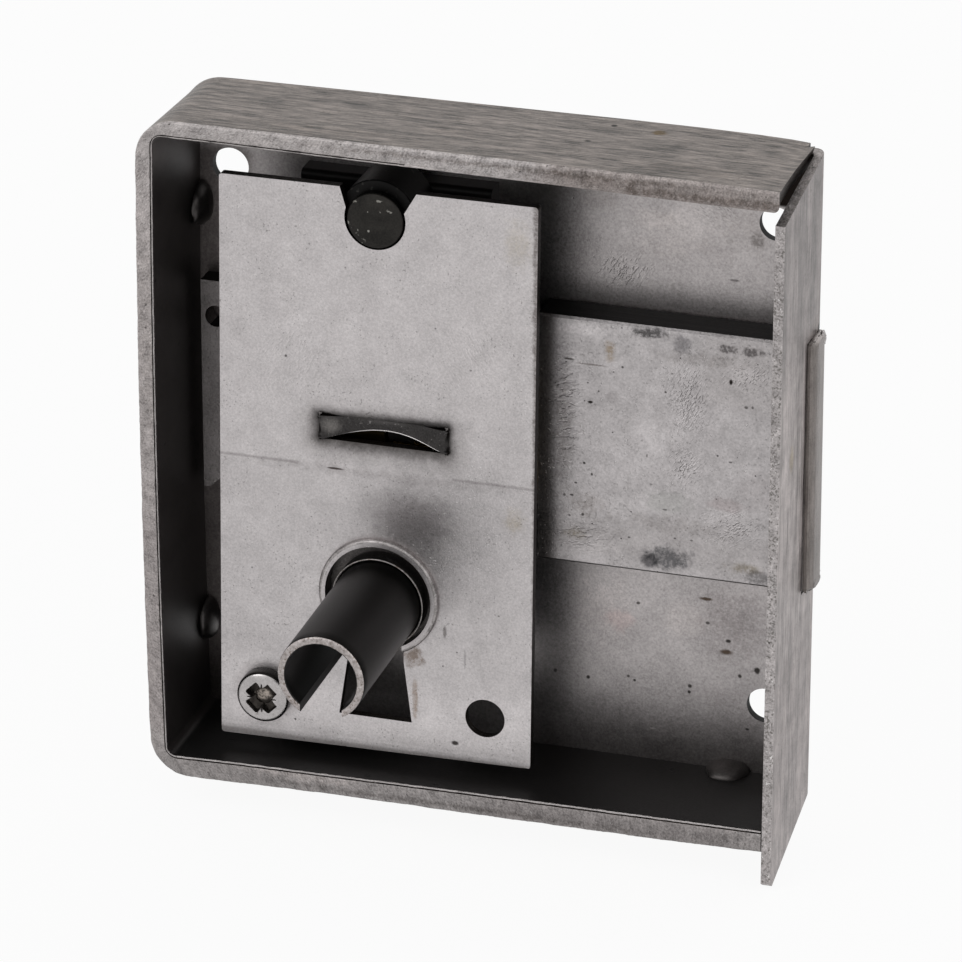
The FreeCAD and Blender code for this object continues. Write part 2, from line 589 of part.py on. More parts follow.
def lever_spring(index):
    """Leaf set in the top edge of one lever and bearing under the locating post."""
    start = lever_front(index)
    root = PIVOT_X + SPRING_ROOT_X
    foot = PIVOT_Z + LEVER_TOP - SPRING_ROOT_DEPTH
    seat = POST_Z - POST_DIAMETER / 2 - SEAT_GAP
    tip = Vector(POST_X + SPRING_TIP_RUN, start, seat - SPRING_THICK)
    bow = (seat - foot) / 2

    def leaf(shift):
        upright = Vector(root + shift, start, foot + SPRING_ROOT_DEPTH)
        curve = Part.BezierCurve()
        rise = Vector(0, 0, SPRING_THICK - shift)
        curve.setPoles([upright, upright + Vector(0, 0, bow),
                        Vector(root + shift, start, tip.z + rise.z), tip + rise])
        stem = Part.LineSegment(Vector(root + shift, start, foot), upright)
        return stem.toShape(), curve.toShape(), Vector(root + shift, start, foot)

    lower_stem, lower_curve, lower_foot = leaf(SPRING_THICK)
    upper_stem, upper_curve, upper_foot = leaf(0)
    ends = [Part.LineSegment(lower_foot, upper_foot).toShape(),
            Part.LineSegment(lower_curve.Vertexes[-1].Point, upper_curve.Vertexes[-1].Point).toShape()]
    edges = [lower_stem, lower_curve, upper_stem, upper_curve] + ends
    face = Part.Face(Part.Wire(Part.__sortEdges__(edges)))
    return face.extrude(Vector(0, LEVER_THICK, 0))


def lever_spacers():
    """Thin washers on the pivot before, between and behind the levers."""
    rings = []
    for index in range(1, LEVER_COUNT + 1):
        start = lever_front(index) - LEVER_GAP
        ring = rod(PIVOT_X, PIVOT_Z, SPACER_DIAMETER, start, start + LEVER_GAP)
        rings.append(ring.cut(rod(PIVOT_X, PIVOT_Z, PIVOT_DIAMETER, start, start + LEVER_GAP)))
    return Part.makeCompound(rings)


def lever_pivot():
    """Pin that carries the levers and guides the bolt tail, riveted in the plate."""
    pin = rod(PIVOT_X, PIVOT_Z, PIVOT_DIAMETER, COVER_BACK, PLATE_FACE)
    nose = [e for e in pin.Edges if isinstance(e.Curve, Part.Circle)
            and e.CenterOfMass.y < COVER_BACK + NEAR]
    pin = pin.makeChamfer(PIVOT_EASE, nose)
    return pin.fuse(tenon(PIVOT_X, PIVOT_Z, PIVOT_TENON, PLATE_FACE)).removeSplitter()


def locating_post():
    """Stepped post with a domed tip that stands in the notch of the cover plate."""
    tip = rod(POST_X, POST_Z, POST_TIP, COVER_DEPTH, COVER_BACK)
    dome_radius = ((POST_TIP / 2) ** 2 + POST_DOME ** 2) / (2 * POST_DOME)
    ball = Part.makeSphere(dome_radius, Vector(POST_X, COVER_DEPTH - POST_DOME + dome_radius, POST_Z))
    dome = ball.common(rod(POST_X, POST_Z, POST_TIP, COVER_DEPTH - POST_DOME, COVER_DEPTH))
    body = rod(POST_X, POST_Z, POST_DIAMETER, COVER_BACK, PLATE_FACE - PAD_THICK)
    foot = rod(POST_X, POST_Z, POST_TENON, PLATE_FACE - PAD_THICK, PLATE_FACE)
    parts = [dome, body, foot, tenon(POST_X, POST_Z, POST_TENON, PLATE_FACE)]
    return tip.fuse(parts).removeSplitter()


def post_pad():
    """Stiffening pad between the plate and the locating post."""
    top = POST_Z + PAD_RISE
    front = PLATE_FACE - PAD_THICK
    pad = block(POST_X - PAD_WIDTH / 2, POST_X + PAD_WIDTH / 2, front, PLATE_FACE,
                top - PAD_HEIGHT, top)
    long_edges = edges_along(pad, Vector(1, 0, 0), lambda p: p.y < front + NEAR)
    pad = pad.makeFillet(PAD_EDGE, long_edges)
    return pad.cut(rod(POST_X, POST_Z, POST_TENON, front, PLATE_FACE))


def cover_stud():
    """Tapped post that takes the cover screw, riveted in the plate."""
    body = rod(STUD_X, STUD_Z, STUD_DIAMETER, COVER_BACK, PLATE_FACE)
    body = body.fuse(tenon(STUD_X, STUD_Z, STUD_TENON, PLATE_FACE))
    bore = SCREW_DIAMETER + 2 * SCREW_BORE_GAP
    return body.cut(rod(STUD_X, STUD_Z, bore, COVER_BACK, COVER_BACK + STUD_BORE_DEPTH))


def cover_screw():
    """Pan-head screw with a cross recess."""
    head_front = COVER_DEPTH - SCREW_HEAD_HEIGHT
    head = rod(STUD_X, STUD_Z, SCREW_HEAD, head_front, COVER_DEPTH)
    rim = [e for e in head.Edges if isinstance(e.Curve, Part.Circle)
           and abs(e.CenterOfMass.y - head_front) < NEAR]
    head = head.makeFillet(SCREW_HEAD_CROWN, rim)
    shank = rod(STUD_X, STUD_Z, SCREW_DIAMETER, COVER_DEPTH, COVER_DEPTH + SCREW_LENGTH)
    reach = SCREW_RECESS_WIDTH / 2
    half = SCREW_RECESS_SLOT / 2
    floor = head_front + SCREW_RECESS_DEPTH
    arms = [block(STUD_X - reach, STUD_X + reach, head_front, floor, STUD_Z - half, STUD_Z + half),
            block(STUD_X - half, STUD_X + half, head_front, floor, STUD_Z - reach, STUD_Z + reach)]
    recess = arms[0].fuse(arms[1])
    recess.rotate(Vector(STUD_X, head_front, STUD_Z), Vector(0, 1, 0), 45)
    return head.fuse(shank).cut(recess).removeSplitter()


def slit_space(reach, start, end):
    """The space of the pipe's slit below its axis, between two depths."""
    half = PIPE_SLIT / 2
    return block(PIPE_X - half, PIPE_X + half, start, end, PIPE_Z - reach, PIPE_Z)


def key_pipe():
    """Rolled pipe that guides the key, open along one side for the bit."""
    rear = CASE_DEPTH - PIPE_END_GAP
    tube = rod(PIPE_X, PIPE_Z, PIPE_DIAMETER, -PIPE_REACH, rear)
    tube = tube.cut(rod(PIPE_X, PIPE_Z, PIPE_DIAMETER - 2 * PIPE_WALL, -PIPE_REACH, rear))
    return tube.cut(slit_space(PIPE_DIAMETER, -PIPE_REACH, rear))


def curtain_disc():
    """Sleeve and disc that turn with the pipe and close the cover plate's opening."""
    front = COVER_DEPTH - SLEEVE_PROUD
    face = COVER_BACK + SEAT_GAP
    back = face + CURTAIN_THICK
    body = rod(PIPE_X, PIPE_Z, SLEEVE_DIAMETER, front, face)
    body = body.fuse(rod(PIPE_X, PIPE_Z, CURTAIN_DIAMETER, face, back))
    body = body.cut(rod(PIPE_X, PIPE_Z, PIPE_DIAMETER, front, back))
    return body.cut(slit_space(CURTAIN_DIAMETER, front, back)).removeSplitter()


def thrust_ring():
    """Ring pressed on the pipe in front of the plate, which keeps the pipe from drawing out."""
    back = PLATE_FACE - SEAT_GAP
    front = back - THRUST_THICK
    ring = rod(PIPE_X, PIPE_Z, THRUST_DIAMETER, front, back)
    ring = ring.cut(rod(PIPE_X, PIPE_Z, PIPE_DIAMETER, front, back))
    return ring.cut(slit_space(THRUST_DIAMETER, front, back))


def build():
    """Every sub-part by the name of its node."""
    parts = {
        "case_plate": case_plate(),
        "rim_strip": rim_strip(),
        "rim_welds": rim_welds(),
        "cover_plate": cover_plate(),
        "cover_screw": cover_screw(),
        "cover_stud": cover_stud(),
        "locating_post": locating_post(),
        "post_pad": post_pad(),
        "lever_pivot": lever_pivot(),
        "lever_spacers": lever_spacers(),
        "bolt": bolt(),
        "bolt_stump": bolt_stump(),
        "key_pipe": key_pipe(),
        "curtain_disc": curtain_disc(),
        "thrust_ring": thrust_ring(),
    }
    for index in range(LEVER_COUNT):
        parts[f"lever_{index + 1}"] = lever(index)
        parts[f"lever_spring_{index + 1}"] = lever_spring(index)
    return parts


os.makedirs("parts", exist_ok=True)
for name, shape in build().items():
    placed = shape.translated(-ORIGIN)
    placed.exportStep(f"parts/{name}.step")
    solids = placed.Solids
    print(f"{name}: {len(solids)} solid(s), volume {sum(s.Volume for s in solids):.1f}, "
          f"valid {placed.isValid()}")
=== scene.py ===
"""Rim lock for a cabinet door, dressed as raw steel under plain soft light.

Lengths in the classes are millimetres from the case's lower left corner at its open side:
x runs to the forend, y into the depth and z up. Meshes are placed in the frame in metres.
"""

import logging
import math
from collections.abc import Callable
from dataclasses import dataclass, replace
from enum import Enum

import bmesh
import bpy
import numpy as np
from mathutils import Matrix, Vector


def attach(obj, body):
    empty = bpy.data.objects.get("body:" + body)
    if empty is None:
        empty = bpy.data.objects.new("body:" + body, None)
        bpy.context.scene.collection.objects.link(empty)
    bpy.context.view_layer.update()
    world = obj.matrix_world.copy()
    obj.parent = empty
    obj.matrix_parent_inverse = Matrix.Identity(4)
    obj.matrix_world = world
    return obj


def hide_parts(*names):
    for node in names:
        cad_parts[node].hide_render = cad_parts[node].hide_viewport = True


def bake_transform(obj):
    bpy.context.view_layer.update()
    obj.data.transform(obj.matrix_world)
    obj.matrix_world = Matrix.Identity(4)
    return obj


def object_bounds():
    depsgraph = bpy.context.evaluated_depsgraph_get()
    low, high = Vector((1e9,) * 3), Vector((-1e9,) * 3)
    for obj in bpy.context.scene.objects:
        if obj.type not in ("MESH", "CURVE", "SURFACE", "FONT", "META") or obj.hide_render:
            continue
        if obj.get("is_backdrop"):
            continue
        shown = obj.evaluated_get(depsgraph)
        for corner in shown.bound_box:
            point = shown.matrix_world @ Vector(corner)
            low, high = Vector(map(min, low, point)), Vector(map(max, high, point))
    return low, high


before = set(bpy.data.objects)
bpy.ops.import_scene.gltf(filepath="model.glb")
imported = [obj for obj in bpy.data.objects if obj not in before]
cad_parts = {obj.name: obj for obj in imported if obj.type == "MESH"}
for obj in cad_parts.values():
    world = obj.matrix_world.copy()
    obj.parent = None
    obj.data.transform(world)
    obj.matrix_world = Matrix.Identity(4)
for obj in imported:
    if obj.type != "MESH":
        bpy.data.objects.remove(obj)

log = logging.getLogger("lock")

MM = 0.001
CORNER_IN_FRAME = np.array([-50.35, -21.5, -53.9])
TINT = np.array([1.0, 0.975, 0.985])

Colour = tuple[float, float, float]
Place = tuple[float, float, float]
Face = tuple[int, ...]
Wears = Callable[[np.ndarray, np.ndarray], np.ndarray]
Socket = bpy.types.NodeSocket
Material = bpy.types.Material
Piece = bpy.types.Object


class Body(Enum):
    """The bodies of the frame that pieces ride on."""

    CASE = "case"
    BOLT = "bolt_body"
    BARREL = "barrel"


class Axis(Enum):
    """The axis along which a drawn or rolled surface is streaked."""

    X = 0
    Y = 1
    Z = 2


class Coordinates(Enum):
    """Where a finish reads its place from: the object's own space or the piece's UV map."""

    OBJECT = "Object"
    UV = "UV"


# ---- shader building ----


class Canvas:
    """Adds nodes to one tree and links them."""

    def __init__(self, tree: bpy.types.NodeTree) -> None:
        """Keep the tree that nodes go to.

        Args:
            tree: The material's or group's node tree.
        """
        self.tree = tree

    def node(self, kind: str, **settings: object) -> bpy.types.Node:
        """Add a node and set its plain properties.

        Args:
            kind: The node's type name.
            settings: Property names and values.

        Returns:
            The new node.
        """
        made = self.tree.nodes.new(kind)
        for key, value in settings.items():
            setattr(made, key, value)
        return made

    def feed(self, target: Socket, value: object) -> None:
        """Link a socket to a target, or set the target to a plain value.

        Args:
            target: The input to set.
            value: A socket, or a plain value.
        """
        if isinstance(value, bpy.types.NodeSocket):
            self.tree.links.new(value, target)
        elif isinstance(value, tuple) and len(target.default_value) == len(value) + 1:
            target.default_value = (*value, 1.0)
        else:
            target.default_value = value

    def math(self, operation: str, first: object, second: object = 0.0,
             third: object = 0.0) -> Socket:
        """A math node on sockets or numbers.

        Args:
            operation: Blender's name of the operation.
            first: Socket or number.
            second: Socket or number.
            third: Socket or number, for operations of three values.

        Returns:
            The result.
        """
        made = self.node("ShaderNodeMath", operation=operation)
        for target, value in zip(made.inputs, (first, second, third)):
            self.feed(target, value)
        return made.outputs[0]

    def fade(self, value: object, start: object, end: object, low: float = 0.0,
             high: float = 1.0) -> Socket:
        """Map a value smoothly from low at start to high at end, and no further.

        Args:
            value: Socket to map.
            start: Where the result is low.
            end: Where the result is high.
            low: Result at and before start.
            high: Result at and after end.

        Returns:
            The mapped value.
        """
        made = self.node("ShaderNodeMapRange", interpolation_type="SMOOTHSTEP")
        for name, given in (("Value", value), ("From Min", start), ("From Max", end),
                            ("To Min", low), ("To Max", high)):
            self.feed(made.inputs[name], given)
        return made.outputs["Result"]

    def vector(self, operation: str, first: object, second: object = None) -> Socket:
        """A vector math node on one or two vectors.

        Args:
            operation: Blender's name of the operation.
            first: Socket of the first vector.
            second: Socket or three numbers for the second vector.

        Returns:
            The resulting vector, or the length where that was asked for.
        """
        made = self.node("ShaderNodeVectorMath", operation=operation)
        self.feed(made.inputs[0], first)
        if second is not None:
            self.feed(made.inputs[1], second)
        return made.outputs["Value" if operation == "LENGTH" else "Vector"]

    def blend(self, factor: object, first: object, second: object, mode: str = "MIX") -> Socket:
        """Mix two colours.

        Args:
            factor: Share of the second colour.
            first: Socket or colour.
            second: Socket or colour.
            mode: Blender's name of the blend.

        Returns:
            The mixed colour.
        """
        made = self.node("ShaderNodeMix", data_type="RGBA", blend_type=mode)
        self.feed(made.inputs[0], factor)
        self.feed(made.inputs[6], first)
        self.feed(made.inputs[7], second)
        return made.outputs[2]

    def noise(self, vector: object, scale: object, detail: float = 3.0, rough: float = 0.55,
              twist: float = 0.0) -> Socket:
        """Fractal noise between about 0.25 and 0.75 with its middle at a half.

        Args:
            vector: Place to read at.
            scale: Features per metre.
            detail: Number of octaves.
            rough: Share that each octave keeps.
            twist: Distortion of the place.

        Returns:
            The noise value.
        """
        made = self.node("ShaderNodeTexNoise")
        for name, given in (("Vector", vector), ("Scale", scale), ("Detail", detail),
                            ("Roughness", rough), ("Distortion", twist)):
            self.feed(made.inputs[name], given)
        return made.outputs["Fac"]

    def moved(self, vector: object, scale: Place = (1.0, 1.0, 1.0),
              turn: Place = (0.0, 0.0, 0.0), shift: Place = (0.0, 0.0, 0.0)) -> Socket:
        """The place, turned and stretched by a mapping node.

        Args:
            vector: Place to change.
            scale: Stretch of each axis.
            turn: Turn about each axis in radians.
            shift: Shift of each axis in metres.

        Returns:
            The changed place.
        """
        made = self.node("ShaderNodeMapping")
        for name, given in (("Vector", vector), ("Scale", scale), ("Rotation", turn),
                            ("Location", shift)):
            if name == "Vector":
                self.feed(made.inputs[name], given)
            else:
                made.inputs[name].default_value = given
        return made.outputs[0]

    def seen(self) -> Socket:
        """One on rays from the camera, a mirror or glass, and nothing on all others.

        Returns:
            The share.
        """
        rays = self.node("ShaderNodeLightPath").outputs
        direct = self.math("MAXIMUM", rays["Is Camera Ray"], rays["Is Glossy Ray"])
        return self.math("MAXIMUM", direct, rays["Is Transmission Ray"])


class Effect:
    """A shader node group that several finishes share."""

    def __init__(self, name: str, inputs: dict[str, object], outputs: tuple[str, ...]) -> None:
        """Make the group with its sockets.

        Args:
            name: The group's name.
            inputs: Socket names with their default numbers, or None for a vector.
            outputs: Names of the float outputs.
        """
        self.tree = bpy.data.node_groups.new(name, "ShaderNodeTree")
        for key, value in inputs.items():
            kind = "NodeSocketVector" if value is None else "NodeSocketFloat"
            socket = self.tree.interface.new_socket(key, in_out="INPUT", socket_type=kind)
            if value is not None:
                socket.default_value = value
        for key in outputs:
            self.tree.interface.new_socket(key, in_out="OUTPUT", socket_type="NodeSocketFloat")
        self.canvas = Canvas(self.tree)
        self.given = self.canvas.node("NodeGroupInput").outputs
        self.wanted = self.canvas.node("NodeGroupOutput").inputs

    def use(self, canvas: Canvas, **values: object) -> bpy.types.bpy_prop_collection:
        """Place the group in a material.

        Args:
            canvas: Canvas of the material's tree.
            values: Sockets or numbers by input name, with underscores for spaces.

        Returns:
            The outputs of the placed group.
        """
        made = canvas.node("ShaderNodeGroup")
        made.node_tree = self.tree
        for key, value in values.items():
            canvas.feed(made.inputs[key.replace("_", " ").capitalize()], value)
        return made.outputs


def mottle_effect() -> Effect:
    """Soft clouds and fine grain of bare rolled steel, round a middle tone of a half.

    Returns:
        The effect.
    """
    effect = Effect("rolled_mottle", {"Place": None, "Cloud size": 5.0, "Clouds": 1.0,
                                      "Grain size": 0.3, "Grain": 1.0}, ("Tone", "Height"))
    c, given = effect.canvas, effect.given
    broad = c.noise(given["Place"], c.math("DIVIDE", 1000.0, given["Cloud size"]), 5.0, 0.62, 0.3)
    fine = c.noise(given["Place"], c.math("DIVIDE", 1000.0, given["Grain size"]), 3.0, 0.65)
    clouds = c.math("MULTIPLY", c.math("SUBTRACT", broad, 0.5), given["Clouds"])
    grain = c.math("MULTIPLY", c.math("SUBTRACT", fine, 0.5), given["Grain"])
    c.feed(effect.wanted["Tone"], c.math("ADD", c.math("ADD", clouds, grain), 0.5))
    c.feed(effect.wanted["Height"], c.math("ADD", grain, c.math("MULTIPLY", clouds, 0.3)))
    return effect


def streak_effect() -> Effect:
    """Drawing lines: noise on a place that the finish has stretched along the streaks.

    Returns:
        The effect.
    """
    effect = Effect("drawn_streaks", {"Place": None, "Pitch": 0.3}, ("Tone",))
    c, given = effect.canvas, effect.given
    rate = c.math("DIVIDE", 1000.0, given["Pitch"])
    fine = c.noise(given["Place"], rate, 4.0, 0.7)
    broad = c.noise(given["Place"], c.math("MULTIPLY", rate, 0.27), 3.0, 0.6)
    lines = c.math("ADD", c.math("MULTIPLY", fine, 0.6), c.math("MULTIPLY", broad, 0.4))
    c.feed(effect.wanted["Tone"], c.math("SUBTRACT", lines, 0.5))
    return effect


def fleck_effect() -> Effect:
    """Small ragged flecks: the crests of a short noise, in loose groups.

    Returns:
        The effect.
    """
    effect = Effect("small_flecks", {"Place": None, "Size": 0.4, "Level": 0.64}, ("Mask",))
    c, given = effect.canvas, effect.given
    rate = c.math("DIVIDE", 1000.0, given["Size"])
    value = c.noise(given["Place"], rate, 2.0, 0.5)
    groups = c.noise(given["Place"], c.math("MULTIPLY", rate, 0.12), 2.0, 0.5)
    level = c.math("ADD", given["Level"],
                   c.math("MULTIPLY", c.math("SUBTRACT", 0.5, groups), 0.3))
    c.feed(effect.wanted["Mask"], c.fade(value, level, c.math("ADD", level, 0.06)))
    return effect


def pit_effect() -> Effect:
    """Scattered pits: cells of a Voronoi pattern, of which a share carries a dark dot.

    Returns:
        The effect.
    """
    effect = Effect("scattered_pits", {"Place": None, "Spacing": 2.0, "Share": 0.3,
                                       "Radius": 0.2}, ("Mask",))
    c, given = effect.canvas, effect.given
    cells = c.node("ShaderNodeTexVoronoi", feature="F1")
    ragged = c.noise(given["Place"], 2600.0, 2.0, 0.6)
    c.feed(cells.inputs["Vector"], given["Place"])
    c.feed(cells.inputs["Scale"], c.math("DIVIDE", 1000.0, given["Spacing"]))
    split = c.node("ShaderNodeSeparateColor")
    c.feed(split.inputs[0], cells.outputs["Color"])
    chosen = c.math("LESS_THAN", split.outputs[0], given["Share"])
    size = c.math("MULTIPLY", given["Radius"], c.math("ADD", 0.35, split.outputs[1]))
    size = c.math("MULTIPLY", size, c.math("ADD", ragged, 0.5))
    dot = c.fade(cells.outputs["Distance"], size, c.math("MULTIPLY", size, 0.55))
    c.feed(effect.wanted["Mask"], c.math("MULTIPLY", dot, chosen))
    return effect


def stain_and_shading_effect() -> Effect:
    """A soft spot or box with a ragged outline: far = |max(|place - centre| - core, 0) / reach|.

    Returns:
        The effect.
    """
    effect = Effect("soft_stain_and_shading", {"Place": None, "Centre": None, "Core": None, "Reach": None,
                                   "Wander": 0.0, "Ragged": 0.4, "Edge": 0.5}, ("Mask",))
    c, given = effect.canvas, effect.given
    away = c.vector("ABSOLUTE", c.vector("SUBTRACT", given["Place"], given["Centre"]))
    over = c.vector("MAXIMUM", c.vector("SUBTRACT", away, given["Core"]), (0.0, 0.0, 0.0))
    far = c.vector("LENGTH", c.vector("DIVIDE", over, given["Reach"]))
    far = c.math("ADD", far, c.math("MULTIPLY", given["Wander"], given["Ragged"]))
    c.feed(effect.wanted["Mask"], c.fade(far, 1.0, c.math("SUBTRACT", 1.0, given["Edge"])))
    return effect


class Effects:
    """The shared effects, each built once."""

    def __init__(self) -> None:
        """Build every group."""
        self.mottle = mottle_effect()
        self.streaks = streak_effect()
        self.flecks = fleck_effect()
        self.pits = pit_effect()
        self.stain_and_shading = stain_and_shading_effect()


# ---- finishes ----


@dataclass(frozen=True)
class StainAndShading:
    """A discoloured place or a patch of painted light and shade, in millimetres on the lock.

    Without soft it is an ellipse that fades over the share edge of its reach; with soft it is
    a box with a rim of that many millimetres.
    """

    x: float
    z: float
    wide: float
    high: float
    colour: Colour = (0.2, 0.19, 0.18)
    strength: float = 0.8
    ragged: float = 1.0
    edge: float = 0.6
    soft: float | None = None
    y: float = 0.0
    deep: float = 2000.0
    broken: float = 0.0


@dataclass(frozen=True)
class Hatching:
    """A patch of short strokes, light and dark side by side, turned by an angle from x."""

    x: float
    z: float
    wide: float
    high: float
    angle: float
    strength: float = 0.5
    pitch: float = 0.34
    draw: float = 3.0


def marks(rows: tuple[tuple[float, ...], ...]) -> tuple[StainAndShading, ...]:
    """Small dark dents at given places.

    Args:
        rows: For each dent x, z, width, height and strength.

    Returns:
        One patch for each dent.
    """
    return tuple(StainAndShading(x, z, wide, high, (0.06, 0.055, 0.05), strength, 0.8, 0.55)
                 for x, z, wide, high, strength in rows)


@dataclass(frozen=True)
class Finish:
    """A metal surface: its tones, pattern, pits, discolouration and painted light and shade, gloss
    and relief.
    """

    name: str
    light: Colour
    dark: Colour
    metallic: float = 1.0
    gloss_low: float = 0.36
    gloss_high: float = 0.5
    coordinates: Coordinates = Coordinates.OBJECT
    cloud_size: float = 6.0
    clouds: float = 0.8
    grain_size: float = 0.3
    grain: float = 0.8
    streaks: Axis | None = None
    streak_pitch: float = 0.35
    streak_draw: float = 30.0
    streak_share: float = 2.0
    fleck_size: float = 0.5
    fleck_level: float = 0.64
    fleck_colour: Colour = (0.16, 0.15, 0.14)
    fleck_strength: float = 0.3
    glint_level: float = 0.66
    glint_colour: Colour = (0.75, 0.73, 0.72)
    glint_strength: float = 0.0
    pit_spacing: float = 2.2
    pit_share: float = 0.25
    pit_radius: float = 0.2
    pit_colour: Colour = (0.03, 0.028, 0.026)
    pit_strength: float = 0.85
    relief: float = 0.02
    stains_and_shading: tuple[StainAndShading, ...] = ()
    hatchings: tuple[Hatching, ...] = ()

    def build(self, effects: Effects) -> Material:
        """Make the material.

        Args:
            effects: The shared shader groups.

        Returns:
            The material.
        """
        material = bpy.data.materials.new(self.name)
        material.use_nodes = True
        c = Canvas(material.node_tree)
        shader = material.node_tree.nodes["Principled BSDF"]
        shader.inputs["Metallic"].default_value = self.metallic
        places = c.node("ShaderNodeTexCoord").outputs
        place, spot = places[self.coordinates.value], places["Object"]
        mottle = effects.mottle.use(c, place=place, cloud_size=self.cloud_size,
                                    clouds=self.clouds, grain_size=self.grain_size,
                                    grain=self.grain)
        tone, height = mottle["Tone"], mottle["Height"]
        if self.streaks is not None:
            stretch = np.where(np.arange(3) == self.streaks.value, 1 / self.streak_draw, 1.0)
            drawn = effects.streaks.use(c, place=c.moved(place, tuple(stretch)),
                                        pitch=self.streak_pitch)["Tone"]
            drawn = c.math("MULTIPLY", drawn, self.streak_share)
            tone, height = c.math("ADD", tone, drawn), c.math("ADD", height, drawn)
        wander = c.math("SUBTRACT", c.noise(spot, 700.0, 4.0, 0.65), 0.5)
        crumbs = c.noise(spot, 1900.0, 4.0, 0.7) if self.stains_and_shading else None
        for hatching in self.hatchings:
            strokes = self._strokes(c, effects, spot, wander, hatching)
            tone, height = c.math("ADD", tone, strokes), c.math("ADD", height, strokes)
        colour = c.blend(tone, tuple(TINT * self.dark), tuple(TINT * self.light))
        flecks = effects.flecks.use(c, place=place, size=self.fleck_size,
                                    level=self.fleck_level)["Mask"]
        colour = c.blend(c.math("MULTIPLY", flecks, self.fleck_strength), colour,
                         self.fleck_colour)
        if self.glint_strength:
            glints = effects.flecks.use(c, place=c.moved(place, shift=(0.03, 0.01, 0.02)),
                                        size=self.fleck_size, level=self.glint_level)["Mask"]
            colour = c.blend(c.math("MULTIPLY", glints, self.glint_strength), colour,
                             self.glint_colour)
            height = c.math("ADD", height, glints)
        for stain_and_shading in self.stains_and_shading:
            share = c.math("MULTIPLY", self._mask(c, effects, spot, wander, stain_and_shading),
                           stain_and_shading.strength)
            if stain_and_shading.broken:
                share = c.math("MULTIPLY", share, c.fade(crumbs, 0.5 - 0.2 * stain_and_shading.broken,
                                                         0.54, 1 - stain_and_shading.broken, 1.0))
            colour = c.blend(share, colour, stain_and_shading.colour, "MULTIPLY")
        pits = effects.pits.use(c, place=place, spacing=self.pit_spacing, share=self.pit_share,
                                radius=self.pit_radius)["Mask"]
        colour = c.blend(c.math("MULTIPLY", pits, self.pit_strength), colour, self.pit_colour)
        c.feed(shader.inputs["Base Color"], colour)
        c.feed(shader.inputs["Roughness"],
               c.fade(height, -0.6, 0.6, self.gloss_low, self.gloss_high))
        bump = c.node("ShaderNodeBump")
        bump.inputs["Distance"].default_value = self.relief * MM
        c.feed(bump.inputs["Height"], c.math("SUBTRACT", height, c.math("MULTIPLY", pits, 2.0)))
        c.feed(shader.inputs["Normal"], bump.outputs[0])
        return material

    @staticmethod
    def _mask(c: Canvas, effects: Effects, spot: Socket, wander: Socket,
              stain_and_shading: StainAndShading) -> Socket:
        """Where one patch lies.

        Args:
            c: Canvas of the material.
            effects: The shared shader groups.
            spot: Where the surface is.
            wander: Noise that makes the outline ragged.
            stain_and_shading: The patch: a discolouration, painted light or painted shade.

        Returns:
            Its share at each place.
        """
        centre = (np.array([stain_and_shading.x, stain_and_shading.y, stain_and_shading.z]) + CORNER_IN_FRAME) * MM
        half = np.array([stain_and_shading.wide, stain_and_shading.deep, stain_and_shading.high]) / 2 * MM
        soft = half if stain_and_shading.soft is None else np.full(3, stain_and_shading.soft * MM)
        group = effects.stain_and_shading.use(c, place=spot, wander=wander, ragged=stain_and_shading.ragged,
                                  edge=stain_and_shading.edge if stain_and_shading.soft is None else 1.0)
        made = group[0].node
        made.inputs["Centre"].default_value = tuple(centre)
        made.inputs["Core"].default_value = tuple(np.maximum(half - soft, 0.0))
        made.inputs["Reach"].default_value = tuple(soft)
        return group["Mask"]

    def _strokes(self, c: Canvas, effects: Effects, spot: Socket, wander: Socket,
                 hatching: Hatching) -> Socket:
        """The tone that one patch of strokes adds.

        Args:
            c: Canvas of the material's tree.
            effects: The shared effects.
            spot: Where the surface is.
            wander: Noise that makes outlines ragged.
            hatching: The strokes.

        Returns:
            Mask of the strokes.
        """
        turned = c.moved(spot, turn=(0.0, math.radians(hatching.angle), 0.0))
        drawn = c.moved(turned, (1 / hatching.draw, 1.0, 1.0))
        light = effects.flecks.use(c, place=drawn, size=hatching.pitch, level=0.55)["Mask"]
        shifted = c.moved(drawn, shift=(0.0, 0.0, hatching.pitch * 0.4 * MM))
        dark = effects.flecks.use(c, place=shifted, size=hatching.pitch, level=0.54)["Mask"]
        patch = StainAndShading(hatching.x, hatching.z, hatching.wide, hatching.high, ragged=1.2, edge=1.0)
        mask = self._mask(c, effects, spot, wander, patch)
        ticks = c.math("SUBTRACT", light, dark)
        return c.math("MULTIPLY", ticks, c.math("MULTIPLY", mask, hatching.strength * 2.0))


